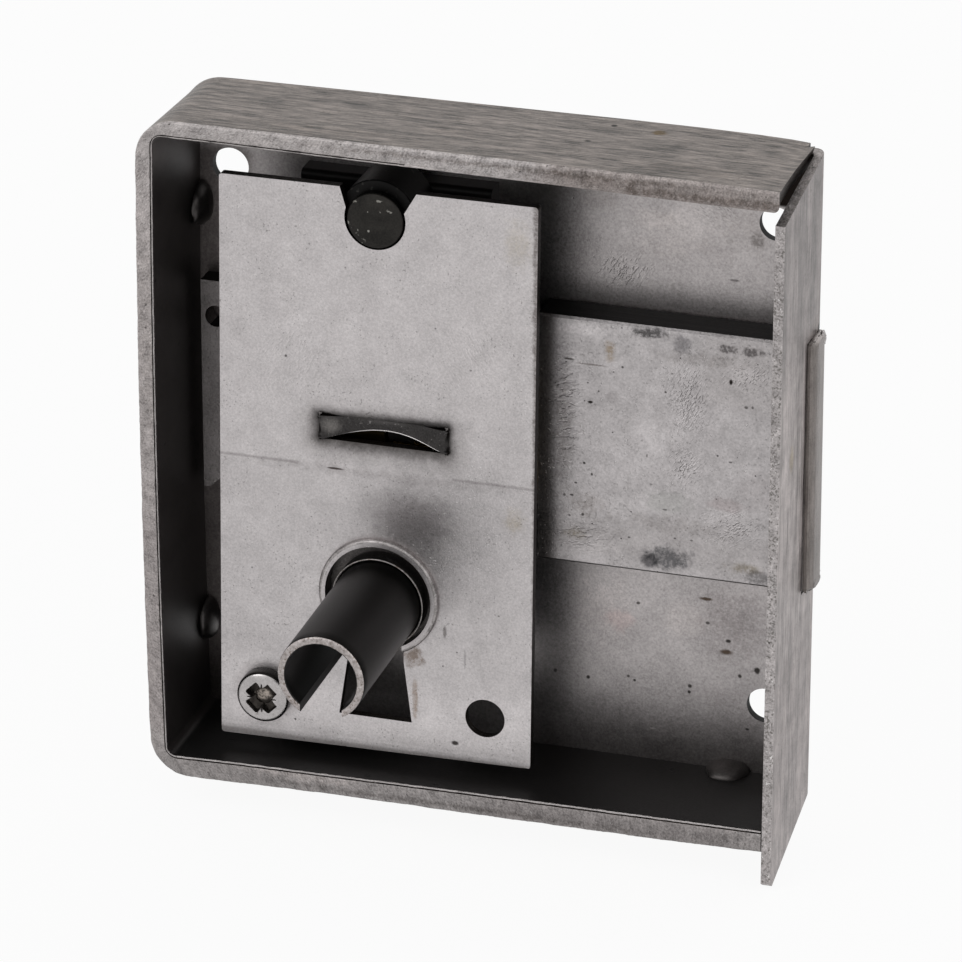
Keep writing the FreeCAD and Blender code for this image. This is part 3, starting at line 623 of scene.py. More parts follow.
PLATE = Finish(
    "plate_mottled_steel", (0.60, 0.575, 0.565), (0.20, 0.191, 0.188), cloud_size=7.0,
    clouds=0.7, grain_size=0.34, grain=1.1, gloss_low=0.34, gloss_high=0.46,
    fleck_size=0.6, fleck_strength=0.22, pit_spacing=3.6, pit_share=0.22, pit_radius=0.09,
    stains_and_shading=(
        # Painted shade beside the left wall.
        StainAndShading(5.5, 48, 13, 98, (0.42, 0.40, 0.39), 1.0, 0.3, soft=2.5),
        # Painted light under the top wall on the left.
        StainAndShading(19, 102, 24, 9, (2.9, 2.83, 2.77), 1.0, 0.3, soft=3.0),
        # Painted shade in the top right corner beside the forend.
        StainAndShading(99.5, 103, 12.5, 13.5, (0.03, 0.025, 0.022), 1.0, 0.1, soft=0.6),
        # Painted shade towards the bottom wall.
        StainAndShading(80, 1, 200, 30, (0.37, 0.365, 0.36), 1.0, 0.2, soft=13.0),
        # Painted shadow of the cover along its right edge.
        StainAndShading(58, 60, 12, 130, (0.6, 0.6, 0.6), 1.0, 0.2, soft=6.0),
        # Painted shade on the plate just above the bolt.
        StainAndShading(80, 79, 60, 9, (0.72, 0.72, 0.72), 1.0, 0.3, soft=4.0),
        StainAndShading(90.3, 90.8, 2.8, 3.2, (0.5, 0.49, 0.48), 0.85, 1.0, broken=0.5),
        StainAndShading(87.0, 83.9, 2.0, 0.5, (0.4, 0.39, 0.39), 0.9, 0.6),
        StainAndShading(86.5, 22.75, 2.9, 1.2, (0.2, 0.15, 0.11), 0.95),
        StainAndShading(83.2, 31.2, 2.7, 0.8, (0.2, 0.15, 0.11), 0.95),
        StainAndShading(79.9, 27.2, 9, 8, (1.14, 1.13, 1.12), 0.9, 0.5),
        StainAndShading(69.6, 25.8, 6, 5, (1.02, 0.93, 0.92), 0.8),
        StainAndShading(75.0, 8.2, 1.3, 0.35, (1.6, 1.6, 1.6), 0.9),
        StainAndShading(66, 95, 9, 6, (0.85, 0.84, 0.83), 0.8),
        StainAndShading(84, 88, 12, 5, (0.86, 0.85, 0.85), 0.8, 1.6, 0.9, broken=0.6),
        StainAndShading(76, 88, 16, 7, (1.12, 1.11, 1.1), 0.8, 1.6, 0.9, broken=0.6),
        StainAndShading(70, 31, 16, 10, (1.12, 1.12, 1.12), 0.8, 1.6, 0.9, broken=0.6),
        StainAndShading(86, 15, 14, 6, (0.8, 0.79, 0.79), 0.8, 1.6, 0.9, broken=0.6),
        StainAndShading(89, 93, 14, 12, (0.8, 0.79, 0.78), 0.8, 1.8, 0.9, broken=0.9),
        StainAndShading(80, 92, 18, 10, (1.2, 1.19, 1.18), 0.8, 1.8, 0.9, broken=0.9),
        StainAndShading(88, 28, 16, 18, (0.7, 0.68, 0.68), 0.85, 1.8, 0.9, broken=0.7),
        StainAndShading(67, 27, 12, 16, (1.16, 1.14, 1.13), 0.8, 1.8, 0.9, broken=0.9),
        StainAndShading(75, 92, 10, 4, (1.08, 1.07, 1.06), 0.8),
    ) + marks((
        (86.8, 24.6, 1.2, 0.8, 0.9), (91.4, 20.3, 1.2, 1.5, 0.95), (88.7, 19.0, 0.9, 0.9, 0.9),
        (80.8, 16.2, 0.8, 0.8, 0.9), (80.7, 15.2, 0.7, 0.7, 0.9), (64.6, 15.4, 0.8, 0.8, 0.9),
        (59.3, 15.8, 0.9, 0.9, 0.8), (71.0, 16.5, 0.7, 0.7, 0.8), (90.0, 10.2, 0.9, 0.6, 0.8),
        (93.0, 21.2, 0.8, 1.1, 0.9), (83.5, 27.2, 0.9, 0.7, 0.8), (72.5, 29.0, 0.8, 0.6, 0.8))),
    hatchings=(Hatching(69.6, 83.5, 13, 8, 60, 0.42), Hatching(84, 95, 14, 9, 150, 0.12)))
PLATE_OUTER = replace(
    PLATE, name="plate_outer_steel", light=(0.50, 0.48, 0.47), dark=(0.17, 0.162, 0.16),
    stains_and_shading=(StainAndShading(30, 80, 46, 30, (0.86, 0.85, 0.84), 0.8, 1.8, 0.9, broken=0.8),
            StainAndShading(72, 30, 50, 36, (1.1, 1.09, 1.08), 0.8, 1.8, 0.9, broken=0.8),
            StainAndShading(50, 4, 100, 8, (0.8, 0.79, 0.78), 0.8, 1.4, 0.9, broken=0.6)),
    hatchings=(Hatching(30, 40, 30, 22, 70, 0.14), Hatching(70, 80, 30, 24, 20, 0.12)))
# Much darker than the plate: painted shade on the forend's inner face.
FOREND_INNER = replace(PLATE, name="forend_inner_steel", light=(0.17, 0.16, 0.155),
                       dark=(0.05, 0.047, 0.045), stains_and_shading=(), hatchings=())
BOLT = Finish(
    "bolt_mottled_steel", (0.70, 0.68, 0.675), (0.20, 0.192, 0.19), cloud_size=4.0,
    clouds=0.8, grain_size=0.34, grain=0.8, gloss_low=0.36, gloss_high=0.52, fleck_size=0.55,
    fleck_level=0.63, fleck_strength=0.36, fleck_colour=(0.13, 0.125, 0.12), glint_strength=0.45,
    pit_spacing=1.5, pit_share=0.42, pit_radius=0.1, relief=0.04,
    stains_and_shading=(
        StainAndShading(75.8, 76.7, 7, 2.2, (0.2, 0.2, 0.2), 0.95, 1.8, broken=0.95),
        StainAndShading(80.9, 75.4, 3.6, 4.4, (0.5, 0.5, 0.51), 0.9, 1.4, broken=0.2),
        StainAndShading(92.0, 75.6, 6, 1.8, (0.25, 0.24, 0.24), 0.9, 1.8, broken=0.9),
        StainAndShading(88.0, 75.6, 4, 1.8, (0.25, 0.24, 0.24), 0.9, 1.8, broken=0.9),
        StainAndShading(69.7, 73.2, 2.4, 4.6, (0.6, 0.5, 0.36), 0.85, 1.2, 0.9, broken=0.55),
        StainAndShading(63.3, 71.0, 2.4, 0.45, (0.15, 0.14, 0.13), 0.9, 0.8),
        StainAndShading(67.0, 70.5, 6.0, 0.4, (0.45, 0.43, 0.41), 0.8, 1.0),
        StainAndShading(70.2, 65.6, 2.6, 2.4, (0.8, 0.79, 0.79), 0.7),
        StainAndShading(79.3, 40.3, 9.0, 4.6, (0.3, 0.31, 0.32), 0.95, 1.7, broken=0.4),
        StainAndShading(76.2, 39.6, 3.8, 3.2, (0.34, 0.34, 0.35), 0.95, 1.0),
        StainAndShading(64.6, 42.6, 5.0, 2.6, (0.5, 0.47, 0.38), 0.85, 1.4, 0.9, broken=0.7),
        StainAndShading(91.0, 40.3, 7.0, 2.4, (0.6, 0.56, 0.46), 0.8, 1.6, 0.9, broken=0.7),
        StainAndShading(93.0, 38.9, 5.5, 3.2, (0.4, 0.4, 0.4), 0.85, 1.2, broken=0.5),
        StainAndShading(79.0, 49.5, 9.0, 5.0, (0.87, 0.89, 0.87), 0.8, 1.2),
        StainAndShading(88.0, 50.3, 7.0, 3.0, (0.86, 0.8, 0.8), 0.6, 1.2),
        # Painted shade beside the forend.
        StainAndShading(92.5, 53.0, 8.0, 9.0, (0.88, 0.87, 0.87), 0.8, 1.2),
        # Painted shadow of the cover on the bolt's left end.
        StainAndShading(59.6, 57.7, 5.0, 60, (0.3, 0.29, 0.28), 1.0, 0.4, soft=2.2),
        # Painted shade beside the forend.
        StainAndShading(97.5, 57.7, 5.5, 60, (0.72, 0.71, 0.71), 1.0, 0.4, soft=2.4),
        StainAndShading(78, 37.4, 60, 1.6, (0.7, 0.7, 0.7), 1.0, 0.6, soft=0.8),
        StainAndShading(74, 58, 22, 22, (1.12, 1.12, 1.12), 0.8, 0.6, 0.9),
        StainAndShading(80, 42, 60, 10, (0.9, 0.895, 0.89), 1.0, 0.5, soft=4.0),
        StainAndShading(92, 72, 20, 16, (0.94, 0.935, 0.93), 1.0, 0.5, soft=4.0),
        StainAndShading(66.0, 76.0, 12, 2.4, (1.25, 1.25, 1.25), 0.8, 1.6, broken=0.8),
        StainAndShading(80.0, 46.0, 26, 4.0, (0.72, 0.71, 0.7), 0.8, 1.6, 0.9, broken=0.9),
        StainAndShading(66.0, 47.5, 9, 6.0, (0.66, 0.64, 0.62), 0.8, 1.6, 0.9, broken=0.9),
        StainAndShading(84.0, 73.5, 22, 3.5, (0.7, 0.69, 0.68), 0.8, 1.6, 0.9, broken=0.9),
        StainAndShading(62.6, 60.0, 4.5, 30, (0.66, 0.65, 0.64), 0.9, 1.6, 0.9, broken=0.9),
        # Painted shade on the tail beside the left wall.
        StainAndShading(6, 59, 10, 40, (0.55, 0.54, 0.53), 1.0, 0.3, soft=1.5),
    ) + marks((
        (66.7, 64.4, 1.1, 0.6, 1.0), (88.5, 70.4, 0.7, 1.2, 1.0), (65.8, 54.3, 0.6, 0.6, 0.9),
        (67.0, 52.6, 0.5, 0.6, 0.8), (66.3, 67.5, 0.4, 0.4, 0.8), (68.0, 66.3, 0.4, 0.4, 0.8),
        (71.7, 70.7, 0.5, 0.5, 0.8), (78.4, 67.5, 0.5, 0.4, 0.8), (79.4, 70.6, 0.45, 0.4, 0.6),
        (86.6, 58.2, 0.5, 0.5, 0.8), (88.6, 57.4, 0.8, 0.4, 0.7), (63.5, 45.4, 0.5, 0.4, 0.7),
        (65.6, 45.8, 0.6, 0.6, 0.8), (64.5, 50.9, 0.6, 0.4, 0.8), (62.7, 48.7, 0.6, 0.7, 0.7),
        (63.9, 48.8, 0.8, 0.4, 0.8), (90.9, 66.6, 0.7, 0.6, 0.7), (91.9, 66.7, 0.5, 0.6, 0.7),
        (75.6, 56.8, 0.4, 0.8, 0.6), (76.3, 52.2, 0.7, 0.4, 0.5), (78.5, 48.3, 1.0, 0.4, 0.6),
        (72.9, 43.0, 0.5, 0.4, 0.7), (80.1, 43.8, 0.5, 0.4, 0.7), (82.7, 43.8, 0.6, 0.4, 0.6))),
    hatchings=(Hatching(82.0, 67.0, 10.0, 18.0, 62, 0.3, 0.26, 2.4),
               Hatching(81.5, 55.5, 8.0, 10.0, 50, 0.28, 0.26, 2.4),
               Hatching(91.0, 71.5, 11.0, 7.0, 40, 0.3, 0.26, 2.4),
               Hatching(89.0, 46.5, 14.0, 9.0, 35, 0.28, 0.26, 2.4),
               Hatching(63.0, 63.0, 7.0, 30.0, 14, 0.24, 0.5, 3.0),
               Hatching(66.0, 42.5, 14.0, 8.0, 8, 0.22, 0.4, 3.0)))
BOLT_END = Finish(
    "bolt_cut_end", (0.36, 0.34, 0.325), (0.11, 0.103, 0.097), streaks=Axis.Z, streak_pitch=0.3,
    streak_draw=12.0, streak_share=2.2, fleck_strength=0.5, pit_spacing=1.4, pit_share=0.3,
    pit_radius=0.1, relief=0.03,
    # The patch paints shade over the front side of the rounded end.
    stains_and_shading=(StainAndShading(101, 57.7, 60, 80, (0.78, 0.76, 0.74), 1.0, 0.4, soft=2.0, y=12.4, deep=6.0),))
# Near black: dark scale on the rolled top and bottom sides, deepened as painted shade.
BOLT_SIDE_SHADE = Finish(
    "bolt_shaded_side", (0.0062, 0.006, 0.0058), (0.003, 0.0029, 0.0028), metallic=0.88,
    fleck_strength=0.0, gloss_low=0.42, gloss_high=0.55, streaks=Axis.X, streak_share=1.4,
    pit_share=0.1)
COVER = Finish(
    "cover_pale_steel", (0.70, 0.68, 0.674), (0.35, 0.339, 0.336), cloud_size=5.0, clouds=0.75,
    grain_size=0.3, grain=1.15, gloss_low=0.36, gloss_high=0.44, fleck_size=0.42,
    fleck_level=0.66, fleck_strength=0.6, fleck_colour=(0.2, 0.19, 0.185),
    glint_strength=0.35, pit_spacing=2.6,
    pit_share=0.22, pit_radius=0.07, pit_strength=0.7, relief=0.025,
    stains_and_shading=(
        # Painted shade round the pressed-in window of the bridge.
        StainAndShading(36.25, 57.9, 24.6, 8.4, (0.13, 0.125, 0.12), 0.97, 0.5, soft=2.5),
        StainAndShading(28.65, 51.5, 3.8, 0.45, (0.15, 0.13, 0.12), 0.95, 0.6),
        # Painted reflection of the dark key pipe, above and right of the collar.
        StainAndShading(40.9, 44.2, 20.5, 15.5, (0.46, 0.45, 0.45), 0.95, 0.5, 0.9),
        # Painted shade round the window, wider and fainter.
        StainAndShading(36.25, 57.7, 30, 13, (0.66, 0.655, 0.65), 0.9, 0.5, soft=4.8),
        # Painted light along the foot.
        StainAndShading(33, 11, 90, 16, (1.13, 1.13, 1.13), 1.0, 0.3, soft=5.0),
        StainAndShading(57.0, 46.4, 5.0, 5.5, (0.84, 0.79, 0.67), 0.7, 1.2, 0.9, broken=0.6),
        StainAndShading(57.7, 91.5, 6.0, 11, (0.93, 0.9, 0.82), 0.8, 1.2, 0.9, broken=0.5),
        StainAndShading(49.2, 22.4, 0.5, 4.6, (0.6, 0.6, 0.6), 0.7, 0.6),
        StainAndShading(46.0, 26.6, 0.8, 2.8, (0.4, 0.39, 0.38), 0.85, 0.6),
        StainAndShading(41.0, 21.8, 4.2, 4.2, (0.42, 0.36, 0.31), 0.95, 1.6, broken=0.5),
        StainAndShading(41.2, 15.0, 1.2, 9.0, (0.6, 0.52, 0.45), 0.9, 1.2, broken=0.4),
        # These four paint the shade of a shallow bend across the sheet: a crease line and a darker
        # lower half.
        StainAndShading(16.0, 51.75, 14, 0.8, (0.66, 0.65, 0.65), 0.85, 0.5, soft=0.35),
        StainAndShading(54.5, 52.1, 15, 0.8, (0.66, 0.65, 0.65), 0.85, 0.5, soft=0.35),
        StainAndShading(35.5, 51.3, 58, 2.4, (0.8, 0.79, 0.79), 0.8, 2.0, 0.9, broken=0.9),
        StainAndShading(35, 26, 120, 52.5, (0.955, 0.955, 0.955), 1.0, 0.1, soft=0.8),
        StainAndShading(35, 5.2, 120, 1.6, (0.62, 0.61, 0.6), 0.9, 0.5, soft=0.6),
        StainAndShading(35, 6.5, 120, 0.7, (1.1, 1.1, 1.1), 0.9, 0.5, soft=0.3),
        StainAndShading(60.4, 51, 1.5, 94, (0.4, 0.38, 0.37), 0.95, 2.0, soft=0.6, broken=0.4),
        # Painted shade round the collar.
        StainAndShading(35.6, 31.3, 21.5, 21.5, (0.8, 0.79, 0.79), 0.8, 0.5, 0.25),
        # Painted shade round the screw head.
        StainAndShading(17.1, 12.4, 12, 12, (0.82, 0.81, 0.81), 0.8, 0.5, 0.3),
        StainAndShading(26, 77, 20, 16, (1.04, 1.04, 1.04), 0.8, 0.6),
    ) + marks(((47.6, 8.15, 1.4, 1.0, 0.95), (21.0, 69.0, 0.6, 0.6, 0.8),
               (50.2, 70.3, 0.5, 0.4, 0.6), (44.7, 76.4, 0.4, 0.35, 0.6),
               (15.1, 33.2, 0.4, 0.5, 0.6), (54.6, 30.5, 0.5, 0.4, 0.6),
               (24.8, 43.0, 0.5, 0.35, 0.5), (30.6, 84.5, 0.4, 0.4, 0.5))),
    hatchings=(Hatching(22, 70, 16, 22, 60, 0.1, 0.35), Hatching(50, 72, 14, 20, 120, 0.1, 0.35)))
WINDOW_SHADE = StainAndShading(36.25, 57.5, 26, 10, (0.05, 0.05, 0.05), 0.97, 0.1, soft=2.0)
# A darker copy of the cover on the eased edges: painted shade that tones down their highlights,
# darkest round the window.
COVER_EDGE_SHADE = replace(COVER, name="cover_edge_shade", light=(0.62, 0.6, 0.59),
                     dark=(0.3, 0.285, 0.28), stains_and_shading=(replace(WINDOW_SHADE, wide=25, high=8.6),),
                     hatchings=())
BRIDGE = replace(COVER, name="bridge_shaded_steel", light=(0.075, 0.072, 0.07),
                 dark=(0.02, 0.0192, 0.0187), glint_strength=0.05, stains_and_shading=(
                     # Painted light on the strip's left end and middle.
                     StainAndShading(28.0, 58.4, 4.5, 3.6, (3.6, 3.6, 3.5), 0.9, 0.6, 0.9),
                     StainAndShading(36.0, 59.4, 10.0, 2.0, (1.8, 1.8, 1.8), 0.9, 0.6, 0.9)), hatchings=())
# Near white: a painted highlight along the bridge's lower edge, with painted shade over its left
# end.
BRIDGE_HIGHLIGHT = replace(COVER, name="bridge_painted_highlight", light=(0.85, 0.83, 0.82),
                      dark=(0.5, 0.49, 0.48), stains_and_shading=(
                          StainAndShading(28.0, 57, 12, 6, (0.05, 0.05, 0.05), 1.0, 0.4, 0.9),),
                      hatchings=())
FOREND = Finish(
    "forend_drawn_steel", (0.55, 0.512, 0.498), (0.115, 0.106, 0.102), cloud_size=4.0, clouds=1.0,
    grain_size=0.3, grain=0.5, streaks=Axis.Z, streak_pitch=0.4, streak_draw=18.0,
    streak_share=2.8, fleck_size=0.7, fleck_strength=0.4, pit_spacing=3.0, pit_share=0.18,
    pit_radius=0.09, relief=0.03,
    stains_and_shading=(
        StainAndShading(100, 95, 60, 46, (0.74, 0.74, 0.74), 1.0, 0.2, soft=12.0),
        StainAndShading(100, 16, 60, 40, (0.88, 0.87, 0.87), 1.0, 0.2, soft=10.0),
        StainAndShading(100, 54, 60, 26, (1.09, 1.09, 1.09), 1.0, 0.2, soft=8.0),
        StainAndShading(100, 62.3, 60, 5.0, (0.93, 0.88, 0.7), 0.8, 0.8, y=6.1, deep=3.0),
        StainAndShading(100, 79, 60, 5.0, (0.75, 0.73, 0.7), 0.7, 0.8, y=17, deep=7.0),
        StainAndShading(100, 78.6, 60, 1.6, (0.05, 0.045, 0.04), 0.95, 0.5, y=19.1, deep=2.4),
        StainAndShading(100, 36.9, 60, 2.0, (0.15, 0.14, 0.13), 0.9, 0.5, y=15.9, deep=0.9)))
FOREND_TOP = Finish(
    "forend_cut_top", (0.46, 0.435, 0.42), (0.05, 0.045, 0.041), cloud_size=1.3, clouds=1.6,
    grain_size=0.3, grain=1.6, fleck_strength=0.7, glint_strength=0.4, pit_spacing=1.0,
    pit_share=0.35, pit_radius=0.14, relief=0.06)
RIM_OUTER = Finish(
    "rim_drawn_steel", (0.285, 0.258, 0.234), (0.028, 0.0245, 0.0212), coordinates=Coordinates.UV,
    cloud_size=7.0, clouds=0.6, grain_size=0.3, grain=0.6, streaks=Axis.X, streak_pitch=0.32,
    streak_draw=11.0, streak_share=5.0, fleck_size=0.6, fleck_strength=0.45,
    fleck_colour=(0.05, 0.042, 0.03), pit_spacing=5.0, pit_share=0.2, pit_radius=0.1, relief=0.04,
    stains_and_shading=(
        StainAndShading(75.9, 107, 3.0, 60, (0.5, 0.36, 0.14), 1.0, 0.8, y=17.6, deep=2.6),
        StainAndShading(68.6, 107, 1.3, 60, (0.06, 0.055, 0.05), 1.0, 0.6, y=18.4, deep=1.2),
        StainAndShading(66.7, 107, 1.3, 60, (0.06, 0.055, 0.05), 1.0, 0.6, y=11.2, deep=1.1),
        StainAndShading(46.0, 107, 13, 60, (1.22, 1.2, 1.18), 0.8, 1.2, 0.9, y=9.0, deep=5.0),
        StainAndShading(84.0, 107, 24, 60, (0.75, 0.73, 0.71), 0.8, 1.6, 0.9, y=4.5, deep=7.0),
        StainAndShading(30.0, 107, 40, 60, (1.1, 1.08, 1.06), 0.8, 1.6, 0.9, y=4.0, deep=4.0)))
PLATE_EDGE = replace(RIM_OUTER, name="plate_rolled_edge", coordinates=Coordinates.OBJECT,
                     stains_and_shading=())
SHEARED = Finish(
    "sheared_edge_steel", (0.68, 0.65, 0.632), (0.10, 0.094, 0.091), coordinates=Coordinates.UV,
    cloud_size=2.0, clouds=1.0, grain_size=0.3, grain=1.3, streaks=Axis.Y, streak_pitch=0.3,
    streak_draw=4.0, streak_share=1.1, fleck_size=0.5, fleck_level=0.62, fleck_strength=0.5,
    glint_strength=0.45, glint_level=0.64,
    pit_spacing=1.2, pit_share=0.25, pit_radius=0.13, pit_strength=0.6, relief=0.06,
    gloss_high=0.6,
    stains_and_shading=(
        StainAndShading(0, 53, 9, 96, (0.95, 0.94, 0.94), 1.0, 0.3, soft=3.0),
        StainAndShading(0, 80, 9, 46, (1.1, 1.1, 1.1), 1.0, 0.4, soft=10.0),
        StainAndShading(0, 24, 9, 48, (0.88, 0.87, 0.87), 1.0, 0.4, soft=10.0),
        StainAndShading(60, 0, 130, 9, (0.7, 0.7, 0.7), 1.0, 0.3, soft=3.0),
        StainAndShading(74, 0, 50, 9, (0.84, 0.83, 0.83), 1.0, 0.4, soft=10.0),
        StainAndShading(82, 105, 46, 10, (0.74, 0.71, 0.69), 1.0, 0.6, soft=8.0),
        StainAndShading(88, 104.5, 26, 2.2, (0.5, 0.47, 0.45), 0.9, 2.0, soft=0.9, broken=0.6),
        StainAndShading(70, 105.5, 34, 4.0, (0.66, 0.64, 0.63), 0.9, 2.0, 0.9, broken=0.8),
        StainAndShading(60, 105.9, 100, 1.2, (0.55, 0.53, 0.51), 0.8, 2.0, 0.9, broken=0.8),
        StainAndShading(1, 70, 5, 50, (0.8, 0.79, 0.78), 0.8, 2.0, 0.9, broken=0.8),
        StainAndShading(50, 0.5, 90, 1.4, (0.5, 0.49, 0.48), 0.8, 2.0, 0.9, broken=0.8),
        StainAndShading(25, 2, 26, 3, (1.5, 1.46, 1.44), 0.8, 2.0, 0.9, broken=0.7)))
SHEARED_FLAT = replace(SHEARED, name="sheared_face_steel", coordinates=Coordinates.OBJECT,
                       light=(0.7, 0.672, 0.66), dark=(0.075, 0.07, 0.066), streaks=None,
                       stains_and_shading=(), fleck_level=0.57, fleck_strength=0.85, glint_strength=0.8)
BURR = replace(SHEARED, name="burr_bright_steel", light=(0.6, 0.58, 0.565),
               dark=(0.2, 0.19, 0.185), streaks=None, stains_and_shading=(), fleck_strength=0.7)
# Near black: painted shade on cut ends and sheet edges, and in the rim's groove.
SHEARED_SHADE = Finish(
    "sheared_end_shade", (0.04, 0.033, 0.029), (0.011, 0.009, 0.008), cloud_size=1.2, clouds=1.2,
    grain_size=0.25, grain=1.2, fleck_strength=0.4, pit_spacing=0.9, pit_share=0.3,
    pit_radius=0.14, relief=0.06, gloss_high=0.6)
# Mill scale made near black, so that it also paints the shade of the case's inside, the pipe's
# bore and other faces out of the light.
SCALE_AND_SHADE = Finish(
    "mill_scale_and_shade", (0.0155, 0.0145, 0.014), (0.006, 0.0056, 0.0054), metallic=0.6,
    cloud_size=6.0, clouds=1.2, grain=0.8, gloss_low=0.4, gloss_high=0.55, pit_share=0.05,
    pit_colour=(0.004, 0.004, 0.004), fleck_strength=0.3, fleck_colour=(0.004, 0.004, 0.004),
    # Painted light on the left inner wall, and a painted reflection near its top.
    stains_and_shading=(StainAndShading(0, 53, 9, 120, (3.9, 3.7, 3.7), 1.0, 0.1, soft=1.2),
            StainAndShading(3, 103, 6, 14, (2.6, 2.6, 2.6), 1.0, 0.4, soft=5.0)))
# Near black: painted shade on the walls of the fixing holes.
HOLE_WALL_SHADE = replace(SCALE_AND_SHADE, name="hole_wall_shade", light=(0.003, 0.0028, 0.0027),
                    dark=(0.002, 0.0019, 0.0018), gloss_low=0.6, gloss_high=0.75, stains_and_shading=())
PIPE = Finish(
    "pipe_dark_steel", (0.0102, 0.0091, 0.0083), (0.004, 0.0037, 0.0035), metallic=0.93,
    cloud_size=6.0, clouds=1.0, grain=0.8, gloss_low=0.34, gloss_high=0.44, pit_share=0.05,
    pit_colour=(0.005, 0.005, 0.005), fleck_strength=0.3, fleck_colour=(0.005, 0.005, 0.005),
    relief=0.01)
CUT_RING = Finish(
    "pipe_cut_end", (0.62, 0.59, 0.575), (0.15, 0.128, 0.115), cloud_size=1.2, clouds=1.2,
    grain_size=0.3, grain=1.3, fleck_size=0.5, fleck_level=0.59, fleck_strength=0.65,
    fleck_colour=(0.12, 0.085, 0.06), pit_spacing=0.9, pit_share=0.3, pit_radius=0.13,
    pit_colour=(0.16, 0.11, 0.075), pit_strength=0.6)
# A bright ring on the sleeve's front lip: worn steel with a painted highlight of its edge.
SLEEVE_WEAR_AND_HIGHLIGHT = replace(CUT_RING, name="sleeve_wear_and_highlight", light=(0.5, 0.48, 0.46),
                      dark=(0.08, 0.075, 0.07), grain=1.8)
# A dark copy of the cover: painted shade on the collar's bore wall and on the disc's front behind
# the lip.
COLLAR_WALL_SHADE = replace(COVER, name="collar_wall_shade", light=(0.15, 0.142, 0.137),
                      dark=(0.04, 0.037, 0.035), fleck_strength=0.3, glint_strength=0.1,
                      stains_and_shading=(), hatchings=())
COLLAR = replace(COVER, name="collar_rough_lip", light=(0.52, 0.5, 0.49),
                 dark=(0.085, 0.08, 0.076), cloud_size=2.2, clouds=1.5, fleck_size=0.6,
                 fleck_level=0.58, fleck_strength=0.7,
                 stains_and_shading=(), hatchings=())
# Near black: painted shade on the post's dome, deep in the notch under the top wall.
POST_DOME_SHADE = Finish(
    "post_shaded_dome", (0.036, 0.034, 0.030), (0.010, 0.0095, 0.0085), metallic=0.8,
    cloud_size=3.5, clouds=1.6, grain=1.2, fleck_size=0.95, fleck_level=0.655,
    fleck_colour=(0.34, 0.33, 0.3), fleck_strength=0.65, pit_spacing=1.6, pit_share=0.2,
    pit_radius=0.16, pit_colour=(0.36, 0.35, 0.32), pit_strength=0.8, gloss_low=0.4,
    gloss_high=0.5)
POST_SIDE = replace(POST_DOME_SHADE, name="post_shaded_side", light=(0.007, 0.0066, 0.0062),
                    dark=(0.003, 0.0028, 0.0026), fleck_strength=0.1, pit_strength=0.05)
BEAD = Finish(
    "weld_bead_steel", (0.115, 0.108, 0.104), (0.045, 0.042, 0.04), metallic=0.8,
    cloud_size=2.0, clouds=1.0, gloss_low=0.4, gloss_high=0.5, relief=0.03,
    pit_colour=(0.01, 0.01, 0.01), fleck_strength=0.0)
SCREW = Finish(
    "screw_bright_plating", (0.56, 0.55, 0.54), (0.3, 0.29, 0.285), cloud_size=2.2, clouds=1.2,
    grain_size=0.3, grain=0.8, gloss_low=0.22, gloss_high=0.34, fleck_size=0.8,
    fleck_strength=0.45, pit_spacing=1.2, pit_share=0.15, pit_radius=0.1)
SCREW_SIDE = replace(SCREW, name="screw_shaded_side", light=(0.035, 0.033, 0.031),
                     dark=(0.01, 0.0095, 0.009))
# Near black: painted shade in the cross recess, with some grime; its one patch paints light into
# the heart.
RECESS_SHADE_AND_GRIME = Finish(
    "screw_recess_shade_and_grime", (0.075, 0.068, 0.06), (0.012, 0.011, 0.01), cloud_size=0.9, clouds=1.6,
    grain_size=0.25, grain=1.0, gloss_low=0.4, gloss_high=0.6,
    stains_and_shading=(StainAndShading(17.15, 12.4, 2.5, 2.5, (9.0, 8.9, 8.8), 1.0, 2.2, 0.5, broken=0.9),))
BRASS = Finish(
    "lever_brass", (0.64, 0.49, 0.23), (0.38, 0.28, 0.13), cloud_size=3.0, gloss_low=0.3,
    gloss_high=0.42, streaks=Axis.X, streak_share=1.2, stains_and_shading=(WINDOW_SHADE,))
TURNED = Finish(
    "turned_steel", (0.48, 0.47, 0.46), (0.27, 0.26, 0.255), cloud_size=2.5, clouds=1.0,
    gloss_low=0.3, gloss_high=0.42, stains_and_shading=(replace(WINDOW_SHADE, y=8.0, deep=20.0),))


FINISHES = (PLATE, PLATE_OUTER, FOREND_INNER, BOLT, BOLT_END, BOLT_SIDE_SHADE, COVER, COVER_EDGE_SHADE, BRIDGE,
            FOREND, FOREND_TOP, RIM_OUTER, SHEARED, SHEARED_FLAT, BURR, SHEARED_SHADE, SCALE_AND_SHADE, PIPE,
            CUT_RING, SLEEVE_WEAR_AND_HIGHLIGHT, COLLAR, PLATE_EDGE, SCREW_SIDE, COLLAR_WALL_SHADE, BRIDGE_HIGHLIGHT,
            POST_SIDE, HOLE_WALL_SHADE, POST_DOME_SHADE, BEAD, SCREW, RECESS_SHADE_AND_GRIME, BRASS, TURNED)


class Finishes:
    """The materials of all finishes, each built once."""

    def __init__(self) -> None:
        """Build the shared effects and the materials that use them."""
        effects = Effects()
        self.built = {finish.name: finish.build(effects) for finish in FINISHES}

    def of(self, *wanted: Finish) -> list[Material]:
        """The materials of some finishes, in the same order."""
        return [self.built[finish.name] for finish in wanted]


# ---- mesh building ----


def in_frame(points: np.ndarray) -> np.ndarray:
    """Points in millimetres on the lock, moved to the frame in metres."""
    return (points + CORNER_IN_FRAME) * MM


